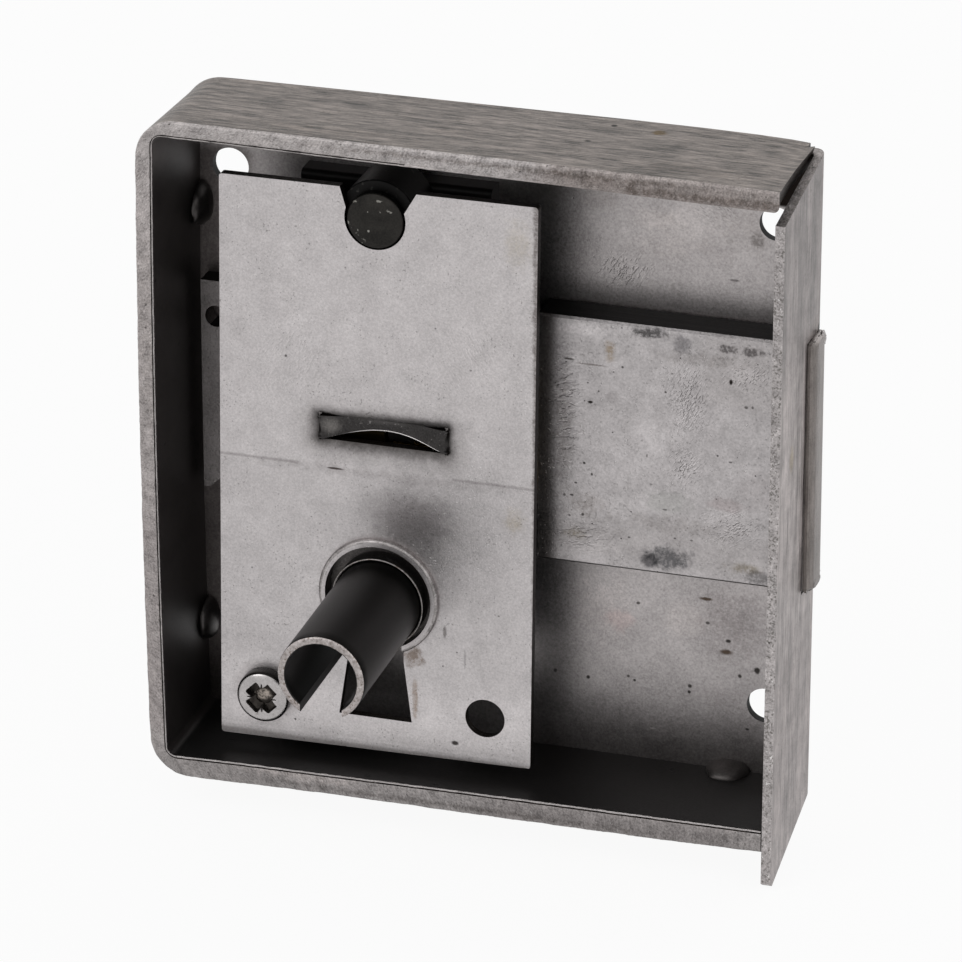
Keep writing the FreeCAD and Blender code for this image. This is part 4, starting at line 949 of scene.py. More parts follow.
def wander(points: np.ndarray, period: float, seed: int, waves: int = 9) -> np.ndarray:
    """Smooth noise of about -1 to 1: a mean of sine waves in seeded directions.

    Args:
        points: Places, with any number of axes, in millimetres.
        period: Length of the longest wave.
        seed: Seed of the directions and phases.
        waves: Number of waves.

    Returns:
        One value for each place.
    """
    rng = np.random.default_rng(seed)
    aims = rng.normal(size=(waves, points.shape[-1]))
    aims /= np.linalg.norm(aims, axis=1, keepdims=True)
    rates = 2 * math.pi / period * rng.uniform(1.0, 2.6, waves)
    phases = rng.uniform(0, 2 * math.pi, waves)
    turns = points @ (aims * rates[:, None]).T + phases
    return np.sin(turns).sum(-1) / math.sqrt(waves)


def quads(rows: int, columns: int, close_rows: bool = False,
          close_columns: bool = False) -> np.ndarray:
    """Corner numbers of the cells of a grid of points.

    Args:
        rows: Points along the first parameter.
        columns: Points along the second parameter.
        close_rows: Join the last row to the first.
        close_columns: Join the last column to the first.

    Returns:
        An array with four corner numbers for each cell.
    """
    first = np.arange(rows if close_rows else rows - 1)
    second = np.arange(columns if close_columns else columns - 1)
    i, j = np.meshgrid(first, second, indexing="ij")
    after_i, after_j = (i + 1) % rows, (j + 1) % columns
    cells = (i * columns + j, i * columns + after_j, after_i * columns + after_j,
             after_i * columns + j)
    return np.stack(cells, -1).reshape(-1, 4)


def tube(rows: int, columns: int, start: int = 0) -> list[Face]:
    """Faces of a tube whose rows are rings, with a flat face over either end.

    Args:
        rows: Number of rings.
        columns: Points in each ring.
        start: Number of its first point.

    Returns:
        The side's faces and then the two ends.
    """
    cells = quads(rows, columns, close_columns=True) + start
    ring = np.arange(columns) + start
    ends = [ring, ring[::-1] + (rows - 1) * columns]
    return [tuple(f) for f in cells.tolist()] + [tuple(e.tolist()) for e in ends]


def ball(rows: int, columns: int, pole: float) -> np.ndarray:
    """Points of a ball of radius 1 in rings, from angle pole at one pole to pi - pole.

    Args:
        rows: Number of rings.
        columns: Points in each ring.
        pole: Angle in radians left open at the poles, which a flat face then closes.

    Returns:
        A grid of points.
    """
    down = np.linspace(pole, math.pi - pole, rows)[:, None]
    round_ = np.linspace(0, 2 * math.pi, columns, endpoint=False)[None]
    return np.stack(np.broadcast_arrays(np.sin(down) * np.cos(round_),
                                        np.sin(down) * np.sin(round_), np.cos(down)), -1)


def make_piece(mesh: bpy.types.Mesh, materials: list[Material], numbers: np.ndarray,
               smooth_angle: float) -> Piece:
    """Dress a mesh and make its object.

    Args:
        mesh: The finished mesh, whose name the piece gets.
        materials: Its materials.
        numbers: Which material each face wears.
        smooth_angle: Angle in degrees past which an edge stays sharp.

    Returns:
        The new object, not yet riding on a body.
    """
    for material in materials:
        mesh.materials.append(material)
    mesh.polygons.foreach_set("material_index", np.asarray(numbers, np.int32))
    mesh.shade_smooth()
    mesh.set_sharp_from_angle(angle=math.radians(smooth_angle))
    piece = bpy.data.objects.new(mesh.name, mesh)
    bpy.context.scene.collection.objects.link(piece)
    return piece


@dataclass
class Skin:
    """A mesh in the making: points in millimetres, faces, and what each face wears."""

    points: np.ndarray
    faces: list[Face]
    wears: np.ndarray
    uv: np.ndarray | None = None

    def to_object(self, name: str, materials: list[Material], smooth_angle: float) -> Piece:
        """Make the object, with faces outwards and edges sharp past an angle.

        Args:
            name: The piece's name.
            materials: Materials by the numbers in wears.
            smooth_angle: Angle in degrees past which an edge stays sharp.

        Returns:
            The new object, not yet riding on a body.
        """
        mesh = bpy.data.meshes.new(name)
        mesh.from_pydata(in_frame(self.points), [], self.faces)
        if self.uv is not None:
            corners = np.zeros(len(mesh.loops), np.int32)
            mesh.loops.foreach_get("vertex_index", corners)
            layer = mesh.uv_layers.new(name="surface")
            layer.data.foreach_set("uv", self.uv[corners].astype(np.float32).ravel())
        outwards(mesh)
        return make_piece(mesh, materials, self.wears, smooth_angle)


def outwards(mesh: bpy.types.Mesh) -> None:
    """Turn the faces of a closed mesh outwards.

    Args:
        mesh: The mesh, which changes.
    """
    work = bmesh.new()
    work.from_mesh(mesh)
    bmesh.ops.recalc_face_normals(work, faces=work.faces)
    work.to_mesh(mesh)
    work.free()


def settle(piece: Piece, body: Body, slot: str, *nodes: str) -> Piece:
    """Let a piece ride on its body and stand for CAD nodes.

    Args:
        piece: The finished object.
        body: Body that it moves with.
        slot: Slot of the record that its finish comes from; not used.
        nodes: CAD nodes that it stands for.

    Returns:
        The same object.
    """
    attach(piece, body.value)
    if nodes:
        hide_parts(*nodes)
    log.info("%s: %d points, rides on %s", piece.name, len(piece.data.vertices), body.value)
    return piece


class SheetCopy:
    """A copy of a CAD node with merged corners, for sliced, pressed and eased sheet metal."""

    flat_angle: float = 0.3
    sharp_angle: float = 30
    bevel_angle: float = 35

    def __init__(self, node: str) -> None:
        """Read the node's triangles and merge its doubled corners.

        Args:
            node: Name of the CAD node.
        """
        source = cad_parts[node].data
        places = np.zeros(len(source.vertices) * 3)
        source.vertices.foreach_get("co", places)
        corners = np.zeros(len(source.loops), np.int32)
        source.loops.foreach_get("vertex_index", corners)
        places = places.reshape(-1, 3)
        merged, number = np.unique(np.round(places / MM, 4), axis=0, return_inverse=True)
        triangles = number.reshape(-1)[corners].reshape(-1, 3)
        whole = (triangles[:, 0] != triangles[:, 1]) & (triangles[:, 1] != triangles[:, 2])
        whole &= triangles[:, 0] != triangles[:, 2]
        self.work = bmesh.new()
        shell = bpy.data.meshes.new("welded")
        shell.from_pydata(merged, [], triangles[whole].tolist())
        self.work.from_mesh(shell)
        bpy.data.meshes.remove(shell)
        bmesh.ops.dissolve_limit(self.work, angle_limit=math.radians(self.flat_angle),
                                 verts=self.work.verts, edges=self.work.edges)

    def slice(self, axis: int, places: np.ndarray, low: Place | None = None,
              high: Place | None = None) -> None:
        """Cut the copy across an axis, so that it can be pressed into shape there.

        Args:
            axis: Number of the axis.
            places: Where to cut, in millimetres on the lock.
            low: Lower corner of the box in which faces are cut, or None for everywhere.
            high: Upper corner of that box.
        """
        normal = Vector([float(k == axis) for k in range(3)])
        for place in places:
            point = normal * float(place + CORNER_IN_FRAME[axis])
            faces = list(self.work.faces)
            if low is not None:
                middles = np.array([f.calc_center_median() for f in faces]) - CORNER_IN_FRAME
                inside = ((middles > low) & (middles < high)).all(1)
                faces = [f for f, kept in zip(faces, inside) if kept]
            edges = {e for f in faces for e in f.edges}
            verts = {v for f in faces for v in f.verts}
            bmesh.ops.bisect_plane(self.work, geom=[*verts, *edges, *faces], dist=1e-4,
                                   plane_co=point, plane_no=normal)

    def points(self) -> np.ndarray:
        """The points in millimetres on the lock."""
        return np.array([v.co for v in self.work.verts]) - CORNER_IN_FRAME

    def move(self, points: np.ndarray) -> None:
        """Put the points at new places, given in millimetres on the lock.

        Args:
            points: Points in millimetres.
        """
        for vertex, place in zip(self.work.verts, points + CORNER_IN_FRAME):
            vertex.co = place

    def to_object(self, name: str, materials: list[Material], wears: Wears,
                  easing: float) -> Piece:
        """Make the object with eased edges.

        Args:
            name: The piece's name.
            materials: Its materials.
            wears: Function of face middles and normals that gives each face's material number.
            easing: Width in millimetres by which sharp edges are rounded.

        Returns:
            The new object.
        """
        bmesh.ops.scale(self.work, vec=Vector((MM, MM, MM)), verts=self.work.verts)
        bmesh.ops.recalc_face_normals(self.work, faces=self.work.faces)
        middles = np.array([f.calc_center_median() for f in self.work.faces]) / MM
        normals = np.array([f.normal for f in self.work.faces])
        numbers = wears(middles - CORNER_IN_FRAME, normals)
        mesh = bpy.data.meshes.new(name)
        self.work.to_mesh(mesh)
        self.work.free()
        piece = make_piece(mesh, materials, numbers, self.sharp_angle)
        bevel = piece.modifiers.new("eased_edges", "BEVEL")
        bevel.width = easing * MM
        bevel.segments = 2
        bevel.limit_method = "ANGLE"
        bevel.angle_limit = math.radians(self.bevel_angle)
        bevel.use_clamp_overlap = True
        bevel.harden_normals = True
        return piece


# ---- sub-assemblies ----


@dataclass(frozen=True)
class Drift:
    """How far an edge has wandered off its true line, at a few places along it."""

    places: tuple[float, ...]
    shifts: tuple[float, ...]

    def at(self, place: np.ndarray) -> np.ndarray:
        """The shift at each place, straight between the given ones."""
        return np.interp(place, self.places, self.shifts)


TOP_BACK = Drift((0, 8, 24, 70, 82, 90, 95, 98, 100.5),
                 (-0.7, -0.5, -0.35, 0.0, 0.0, -0.1, -0.28, -0.55, -0.05))


@dataclass
class RimBar:
    """The flat bar bent round three sides of the plate, with its sheared and burred edge."""

    foot_end: float = 98.3
    height: float = 107.0
    depth: float = 20.0
    bar: float = 3.0
    outer_radius: float = 6.2
    inner_radius: float = 1.3
    end_round: float = 0.9
    step: float = 0.4
    corner_steps: int = 18
    bow: float = 0.6
    thinner: float = 0.25
    top_end: Drift = Drift((0, 8.6, 14, 20), (0.7, 0.35, 0.45, 0.6))
    foot_pull: Drift = Drift((0, 20), (-0.5, -0.05))
    foot_outer: Drift = Drift((5, 8, 17, 25, 33, 60, 80, 95, 98),
                              (-1.05, -1.05, -0.88, -0.7, -0.62, -0.57, -0.44, -0.2, -0.15))
    foot_inner: Drift = Drift((5, 15, 30, 47, 70, 98), (-0.65, -0.35, -0.2, 0.1, 0.3, 0.5))
    top_outer: Drift = Drift((85, 99), (0.0, -0.3))
    top_inner: Drift = Drift((10, 30, 50, 65, 87, 98), (0.4, 0.2, 0.1, 0.0, -0.3, -0.4))
    burr_top: Drift = Drift((30, 52), (1.0, 0.1))
    smooth_angle: float = 40
    wears: tuple[Finish, ...] = (RIM_OUTER, SHEARED, SCALE_AND_SHADE, SHEARED_SHADE, BURR)

    def _walls(self) -> tuple[np.ndarray, ...]:
        """Outer and inner outline at matching stations, and how near each end they are.

        The outline is a straight run, a quarter circle, a run, a quarter circle and a run.

        Returns:
            Outer (x, z), inner (x, z) and the shares of the top and the foot end's shift.
        """
        count = int((self.foot_end - self.outer_radius) / self.step)
        tall = int((self.height - 2 * self.outer_radius) / self.step)

        def outline(inset: float, radius: float) -> np.ndarray:
            """The bar's outline at an inset from its outer face."""
            left, top, foot, near = inset, self.height - inset, inset, self.foot_end
            across = np.linspace(0, 1, count)[:, None]
            down = np.linspace(0, 1, tall)[1:-1, None]
            turn = np.linspace(0, math.pi / 2, self.corner_steps)[1:]
            start, end = np.array([near, top]), np.array([left + radius, top])
            upper = start + (end - start) * across
            bend_top = np.stack([left + radius - radius * np.sin(turn),
                                 top - radius + radius * np.cos(turn)], -1)
            side = np.array([left, top - radius]) + down * np.array(
                [0, foot + 2 * radius - top])
            bend_foot = np.stack([left + radius - radius * np.sin(turn[::-1]),
                                  foot + radius - radius * np.cos(turn[::-1])], -1)
            lower = np.array([left + radius, foot]) + across * np.array(
                [near - left - radius, 0])
            return np.concatenate([upper, bend_top, side, bend_foot, lower])

        outer = outline(0.0, self.outer_radius)
        inner = outline(self.bar, self.inner_radius)
        top_share, foot_share = np.zeros(len(outer)), np.zeros(len(outer))
        top_share[:count] = np.linspace(1, 0, count)
        foot_share[-count:] = np.linspace(0, 1, count)
        return outer, inner, top_share, foot_share

    def _profile(self) -> tuple[np.ndarray, np.ndarray, np.ndarray]:
        """The bar's section, once round from the outer back corner.

        Returns:
            Share of the way from the outer to the inner face, depth in millimetres, and what
            the strip to the next point wears.
        """
        drawn, sheared, scale, dark, burr = range(len(self.wears))
        outer = [(0.0, y, drawn) for y in (20.0, 15.0, 10.0, 5.0, 2.0, 0.9)]
        bend = [(0.15 - 0.15 * math.cos(a), 0.45 - 0.45 * math.sin(a), sheared)
                for a in np.radians((0, 25, 50, 75))]
        face = [(t, 0.0, sheared)
                for t in (0.17, 0.25, 0.33, 0.42, 0.5, 0.58, 0.67, 0.75, 0.82)]
        # The groove beside the burr wears the near-black sheared finish, which paints its shade.
        groove = [(0.86, 0.05, dark), (0.885, 0.22, dark), (0.905, 0.2, dark),
                  (0.925, 0.06, burr), (0.945, -0.02, burr), (0.97, 0.0, burr),
                  (0.99, 0.06, burr)]
        inner = [(1.0, y, scale) for y in (0.2, 0.6, 2.0, 5.0, 10.0, 15.0, 20.0)]
        loop = outer + bend + face + groove + inner
        return tuple(np.array(column) for column in zip(*loop))

    def _bent(self, points: np.ndarray, share: np.ndarray) -> np.ndarray:
        """The bar's bow and the wandering of its edges, as shifts in x and z.

        The left wall stands out by bow (1 - ((z - middle) / half)^2); the other edges follow
        their drifts at the open side and fade to the true line at the plate.

        Args:
            points: Points on the true bar.
            share: Way of each point from the outer to the inner face.

        Returns:
            The shifted points.
        """
        x, y, z = np.moveaxis(points, -1, 0)
        front = 1 - np.clip(y / self.depth, 0, 1)
        left, foot, top = (np.clip(v, 0, 1) for v in ((30 - x) / 22, (20 - z) / 14,
                                                      (z - 88) / 12))
        bow_front = np.minimum(self.bow * (((z - 64) / 56) ** 2 - 1), 0.2)
        bow_back = self.bow * (((z - 53.5) / 53.5) ** 2 - 1)
        dx = left * (front * bow_front + (1 - front) * bow_back)
        dx = dx - left * np.clip(1 - y / 8, 0, 1) * self.thinner * share
        dz_foot = (1 - share) * self.foot_outer.at(x) + share * self.foot_inner.at(x)
        dz_top = (1 - share) * self.top_outer.at(x) + share * self.top_inner.at(x)
        dz = foot * front * dz_foot + top * (front * dz_top + (1 - front) * TOP_BACK.at(x))
        moved = np.stack([x + dx, y, z + dz], -1)
        moved[..., 0] = np.maximum(moved[..., 0], -self.bow)
        moved[..., 2] = np.minimum(moved[..., 2], self.height)
        return moved

    def skin(self) -> Skin:
        """Carry the section along the outline, with waves in the sheared face and its burr.

        Returns:
            The skin.
        """
        outer, inner, top_share, foot_share = self._walls()
        across, depth, wears = self._profile()
        flat = outer[:, None] + (inner - outer)[:, None] * across[None, :, None]
        y = np.broadcast_to(depth, flat.shape[:2]).copy()
        rounding = np.clip((across - 1 + self.end_round / self.bar) * self.bar / self.end_round,
                           0, 1)
        push = self.top_end.at(depth) - self.end_round * (1 - np.sqrt(1 - rounding ** 2))
        x = flat[..., 0] + top_share[:, None] * push[None]
        x = x + foot_share[:, None] * self.foot_pull.at(depth)[None]
        points = np.stack([x, y, flat[..., 1]], -1)
        front = (depth < 0.46) & (across < 0.84)
        lip = (depth < 0.3) & (across > 0.84)
        high = points[..., 2] > self.height - 2 * self.bar
        worn_off = np.where(high, self.burr_top.at(points[..., 0]), 1.0)
        rough = wander(points, 1.6, 3) * 0.02 + wander(points, 9.0, 4) * 0.03
        rough = rough + (1 - worn_off) * 0.03 * wander(points, 0.9, 9)
        line = points[:, :1].repeat(len(across), 1)
        burr = 0.6 + 0.5 * wander(line, 3.2, 5) + 0.25 * wander(line, 0.9, 6)
        burr = np.clip(burr, 0.1, 1.5) * worn_off
        points[..., 1] = np.where(lip, points[..., 1] * burr, points[..., 1])
        points[..., 1] = np.maximum(points[..., 1] + np.where(front, rough, 0.0) + 0.04, 0.0)
        outward = (outer - inner) / self.bar
        nibble = 0.02 * wander(points, 1.1, 7) + 0.03 * wander(points, 7.0, 8)
        nibble = np.where((across < 0.2) & (depth < 1.0), nibble, 0.0)
        points[..., 0] += nibble * outward[:, None, 0]
        points[..., 2] += nibble * outward[:, None, 1]
        points = self._bent(points, np.broadcast_to(across, y.shape))
        rows, columns = points.shape[:2]
        _, sheared, _, dark, burred = range(len(self.wears))
        worn = np.tile(np.append(wears[:-1], dark), (rows - 1, 1))
        groove = (worn == dark) & (across < 0.92)[None]
        smooth = (worn_off[:-1, :] < 0.5) & ((worn == burred) | groove)
        smooth &= (np.arange(columns) < columns - 1)[None]
        worn = np.where(smooth, sheared, worn).ravel()
        run = np.linalg.norm(np.diff(outer, axis=0), axis=1)
        along = np.append(0, np.cumsum(run))
        girth = np.append(0, np.cumsum(np.hypot(np.diff(across) * self.bar, np.diff(depth))))
        uv = np.stack(np.broadcast_arrays(along[:, None], girth[None]), -1).reshape(-1, 2) * MM
        # The bar's two flat ends also wear that near-black finish, painted shade.
        return Skin(points.reshape(-1, 3), tube(rows, columns), np.append(worn, [dark, dark]),
                    uv)

    def build(self, finishes: Finishes) -> Piece:
        """Make the bar.

        Args:
            finishes: The materials.

        Returns:
            The new object.
        """
        piece = self.skin().to_object("rim_bar", finishes.of(*self.wears), self.smooth_angle)
        return settle(piece, Body.CASE, "rim_strip", "rim_strip")


@dataclass
class CaseShell:
    """Plate and forend from one folded sheet, with the forend leaning as it was bent."""

    width: float = 100.0
    height: float = 107.0
    sheet: float = 1.5
    depth: float = 21.5
    lean: float = 0.55
    front_drop: float = 0.8
    holes: tuple[tuple[float, float, float, float, float], ...] = (
        (7.65, 93.2, 0.0, -0.3, 1.05), (93.05, 93.2, 0.25, 0.45, 0.97),
        (93.05, 14.6, -0.35, 0.0, 1.03))
    hole_reach: float = 3.0
    easing: float = 0.16
    cuts: tuple[float, ...] = (8, 16, 24, 40, 55, 70, 78, 82, 86, 90, 92.5, 95, 96, 97)
    wears: tuple[Finish, ...] = (PLATE, FOREND, SHEARED_FLAT, FOREND_TOP, SCALE_AND_SHADE, PLATE_EDGE,
                                 HOLE_WALL_SHADE, PLATE_OUTER, FOREND_INNER)

    def _leant(self, points: np.ndarray) -> np.ndarray:
        """Lean the forend by lean (z / height - (1 - y / depth)), and drop the plate's top edge.

        Args:
            points: Points of the true sheet.

        Returns:
            The shifted points.
        """
        x, y, z = points.T
        share = np.clip((x - self.width + 5) / 3, 0, 1)
        dx = share * self.lean * (z / self.height - (1 - y / self.depth))
        top = np.clip((z - self.height + 7) / 4, 0, 1)
        dz = top * (1 - share * (1 - y / self.depth)) * TOP_BACK.at(x)
        edge = np.clip((z - 101) / 1.4, 0, 1) * share
        dz = dz - edge * self.front_drop * (1 - y / self.depth)
        moved = np.stack([x + dx, y, z + dz], -1)
        for hole_x, hole_z, shift_x, shift_z, growth in self.holes:
            middle = np.array([hole_x, 0.0, hole_z])
            arm = (points - middle) * [1, 0, 1]
            near = (np.linalg.norm(arm, axis=1) < self.hole_reach)[:, None]
            moved = np.where(near, moved + arm * (growth - 1) + [shift_x, 0, shift_z], moved)
        return moved

    def _wears(self, middles: np.ndarray, normals: np.ndarray) -> np.ndarray:
        """Number of the finish of each face, by where it looks and where it is.

        Args:
            middles: Middles of the faces.
            normals: Directions that the faces look in.

        Returns:
            The number of each face.
        """
        number = self.wears.index
        x, _, z = middles.T
        right, back, up = normals.T
        side = np.abs(back) < 0.3
        numbers = np.where(side, number(SCALE_AND_SHADE),
                           np.where(back > 0, number(PLATE_OUTER), number(PLATE)))
        folded = x > self.width - self.sheet - 0.6
        numbers[folded] = number(SCALE_AND_SHADE)
        numbers[folded & (right < -0.3)] = number(FOREND_INNER)
        numbers[folded & (back > 0.5)] = number(PLATE_OUTER)
        numbers[folded & (right > 0.3)] = number(FOREND)
        numbers[folded & (back < -0.5)] = number(SHEARED_FLAT)
        numbers[folded & (up > 0.5) & (z > self.height - 8)] = number(FOREND_TOP)
        numbers[~folded & (up > 0.5) & (z > self.height - 2)] = number(PLATE_EDGE)
        for hole_x, hole_z, *_ in self.holes:
            near = np.hypot(x - hole_x, z - hole_z) < self.hole_reach + 0.5
            numbers[near & side] = number(HOLE_WALL_SHADE)
        return numbers

    def build(self, finishes: Finishes) -> Piece:
        """Make the folded sheet.

        Args:
            finishes: The materials.

        Returns:
            The new object.
        """
        copy = SheetCopy("case_plate")
        copy.slice(0, np.array(self.cuts), (-5, 19, 104), (99, 30, 110))
        copy.move(self._leant(copy.points()))
        piece = copy.to_object("case_shell", finishes.of(*self.wears), self._wears, self.easing)
        return settle(piece, Body.CASE, "case_plate", "case_plate")


@dataclass
class CoverSheet:
    """The cover plate, cut a little askew, with the edges of its lanced bridge pressed in."""

    left: float = 10.3
    right: float = 60.2
    foot: float = 5.0
    top: float = 97.4
    bridge_x: tuple[float, float] = (26.0, 46.5)
    bridge_z: tuple[float, float] = (56.0, 60.1)
    press: float = 0.5
    press_reach: float = 1.7
    lift: float = 0.15
    front: float = 6.0
    collar: tuple[float, float, float, float] = (35.6, 31.3, 8.5, 9.9)
    askew_reach: float = 3.0
    askew_x: Drift = Drift((5.0, 97.4), (-0.58, 0.5))
    askew_foot: Drift = Drift((10.3, 60.2), (-0.33, 0.5))
    askew_top: Drift = Drift((10.3, 60.2), (-0.1, 0.24))
    easing: float = 0.15
    slot_corners: tuple[tuple[float, float, float, float], ...] = (
        (31.8, 20.6, -1.4, -0.4), (30.55, 10.6, -1.6, 0.0))
    slice_x: float = 0.5
    slice_z: float = 0.3
    wears: tuple[Finish, ...] = (COVER, SCALE_AND_SHADE, SHEARED_SHADE, BRIDGE, COVER_EDGE_SHADE, COLLAR,
                                 COLLAR_WALL_SHADE)

    def _slotted(self, points: np.ndarray) -> np.ndarray:
        """Widen the bit slot on the left, as the photograph shows it through the pipe.

        Args:
            points: Points in millimetres.

        Returns:
            The shifted points.
        """
        moved = points.copy()
        for x, z, shift_x, shift_z in self.slot_corners:
            near = np.hypot(points[:, 0] - x, points[:, 2] - z) < 0.2
            moved[near] += [shift_x, 0.0, shift_z]
        return moved

    def _lifted(self, points: np.ndarray) -> np.ndarray:
        """Raise the bridge's lower edge by lift (1 - s^2), s being the way from its middle.

        Args:
            points: Points in millimetres.

        Returns:
            The shifted points.
        """
        middle, half = np.mean(self.bridge_x), np.ptp(self.bridge_x) / 2
        way = np.clip(np.abs(points[:, 0] - middle) / half, 0, 1)
        lower = (points[:, 2] > self.bridge_z[0] + 0.1) & (points[:, 2] < self.bridge_z[0] + 2.6)
        lower &= (points[:, 1] > self.front + 0.05) | (way < 0.95)
        lower &= way < 0.999
        fall = np.clip((self.bridge_z[0] + 3.4 - points[:, 2]) / 1.8, 0, 1)
        moved = points.copy()
        moved[:, 2] += np.where(lower, self.lift * (1 - way ** 2) * fall, 0.0)
        return moved

    def _askew(self, points: np.ndarray) -> np.ndarray:
        """Shift the outline by its drifts, fading to nothing askew_reach inside it.

        Args:
            points: Points in millimetres.

        Returns:
            The shifted points.
        """
        x, y, z = points.T
        inside = np.minimum(np.minimum(x - self.left, self.right - x),
                            np.minimum(z - self.foot, self.top - z))
        share = np.clip(1 - inside / self.askew_reach, 0, 1)
        height = (z - self.foot) / (self.top - self.foot)
        dz = (1 - height) * self.askew_foot.at(x) + height * self.askew_top.at(x)
        return np.stack([x + share * self.askew_x.at(z), y, z + share * dz], -1)

    def _pressed(self, points: np.ndarray) -> np.ndarray:
        """Roll the sheet in towards the slits: depth grows as the distance to them shrinks.

        The distance is that to the box of the bridge, and the shift falls with its square.

        Args:
            points: Points in millimetres.

        Returns:
            The shifted points.
        """
        off_x = np.maximum(self.bridge_x[0] - points[:, 0], points[:, 0] - self.bridge_x[1])
        off_z = np.maximum(self.bridge_z[0] - points[:, 2], points[:, 2] - self.bridge_z[1])
        away = np.hypot(np.maximum(off_x, 0), np.maximum(off_z, 0))
        share = np.clip(1 - away / self.press_reach, 0, 1) ** 2
        inside = (off_x < -0.01) & (off_z < -0.01)
        moved = points.copy()
        moved[:, 1] += np.where(inside, 0.0, share * self.press)
        return moved

    def _wears(self, middles: np.ndarray, normals: np.ndarray) -> np.ndarray:
        """Cut edges in near-black painted shade, a back of mill scale and shade, a shaded bridge,
        a collar with its bore wall in painted shade, and a pale front.

        Args:
            middles: Middles of the faces.
            normals: Directions that the faces look in.

        Returns:
            The number of each face.
        """
        number = self.wears.index
        x, y, z = middles.T
        back = normals[:, 1]
        numbers = np.where(back > 0.6, number(SCALE_AND_SHADE),
                           np.where(back > -0.35, number(SHEARED_SHADE), number(COVER)))
        bridge = (x > self.bridge_x[0] - 0.1) & (x < self.bridge_x[1] + 0.1)
        bridge &= (z > self.bridge_z[0]) & (z < self.bridge_z[1])
        numbers[bridge & (numbers == number(COVER))] = number(BRIDGE)
        collar_x, collar_z, bore, rim = self.collar
        away = np.hypot(x - collar_x, z - collar_z)
        wall = (away < bore) & (away > bore - 0.5) & (np.abs(back) < 0.5)
        numbers[wall] = number(COLLAR_WALL_SHADE)
        lip = (away > bore) & (away < rim) & (back < 0.6)
        numbers[lip & (y < self.front - 0.05)] = number(COLLAR)
        return numbers

    def build(self, finishes: Finishes) -> Piece:
        """Make the cover plate.

        Args:
            finishes: The materials.

        Returns:
            The new object.
        """
        copy = SheetCopy("cover_plate")
        margin = self.press_reach + 0.3
        low = (self.bridge_x[0] - margin, 0, self.bridge_z[0] - margin)
        high = (self.bridge_x[1] + margin, 30, self.bridge_z[1] + margin)
        copy.slice(2, np.array([low[2], high[2]]))
        copy.slice(0, np.array([low[0], high[0]]), (0, 0, low[2]), (90, 30, high[2]))
        copy.slice(0, np.arange(low[0], high[0], self.slice_x), low, high)
        copy.slice(2, np.arange(low[2], high[2], self.slice_z), low, high)
        copy.move(self._askew(self._pressed(self._lifted(self._slotted(copy.points())))))
        piece = copy.to_object("cover_sheet", finishes.of(*self.wears), self._wears, self.easing)
        piece.modifiers["eased_edges"].material = self.wears.index(COVER_EDGE_SHADE)
        return settle(piece, Body.CASE, "cover_plate", "cover_plate")


@dataclass
class BridgeHighlight:
    """A painted highlight along the lower edge of the cover's bridge: a tapered round wire in near
    white.
    """

    middle: float = 36.25
    radius: float = 0.1
    lift: float = 0.15
    start: float = 29.0
    end: float = 45.4
    rings: int = 70
    sides: int = 12
    smooth_angle: float = 60
    path: tuple[Place, ...] = (
        (26.9, 6.06, 56.37), (27.69, 6.2, 56.4), (28.38, 6.37, 56.59), (29.57, 6.72, 56.88),
        (31.04, 7.18, 57.16), (32.27, 7.53, 57.35), (33.37, 7.79, 57.47), (34.26, 7.95, 57.54),
        (35.25, 8.06, 57.58), (36.25, 8.1, 57.6))

    def build(self, finishes: Finishes) -> Piece:
        """Carry a circle along the edge; its radius swells from nothing and falls again.

        Args:
            finishes: The materials.

        Returns:
            The new object.
        """
        half = np.array(self.path)
        other = half[-2::-1] * [-1, 1, 1] + [2 * self.middle, 0, 0]
        places = np.concatenate([half, other])
        reach = places[:, 0]
        x = np.linspace(self.start, self.end, self.rings)
        way = (x - self.middle) / (self.middle - self.path[0][0])
        y = np.interp(x, reach, places[:, 1])
        z = np.interp(x, reach, places[:, 2]) + self.lift * (1 - np.clip(way, -1, 1) ** 2)
        share = np.linspace(0, 1, len(x))
        thick = self.radius * np.sqrt(np.sin(math.pi * np.clip(share, 0.01, 0.99)))
        turn = np.linspace(0, 2 * math.pi, self.sides, endpoint=False)
        points = np.stack([np.broadcast_to(x[:, None], (self.rings, self.sides)),
                           (y + 0.02)[:, None] - thick[:, None] * np.cos(turn),
                           (z + 0.05)[:, None] + thick[:, None] * np.sin(turn)], -1)
        faces = tube(self.rings, self.sides)
        skin = Skin(points.reshape(-1, 3), faces, np.zeros(len(faces)))
        piece = skin.to_object("bridge_highlight", finishes.of(BRIDGE_HIGHLIGHT), self.smooth_angle)
        return settle(piece, Body.CASE, "cover_plate")


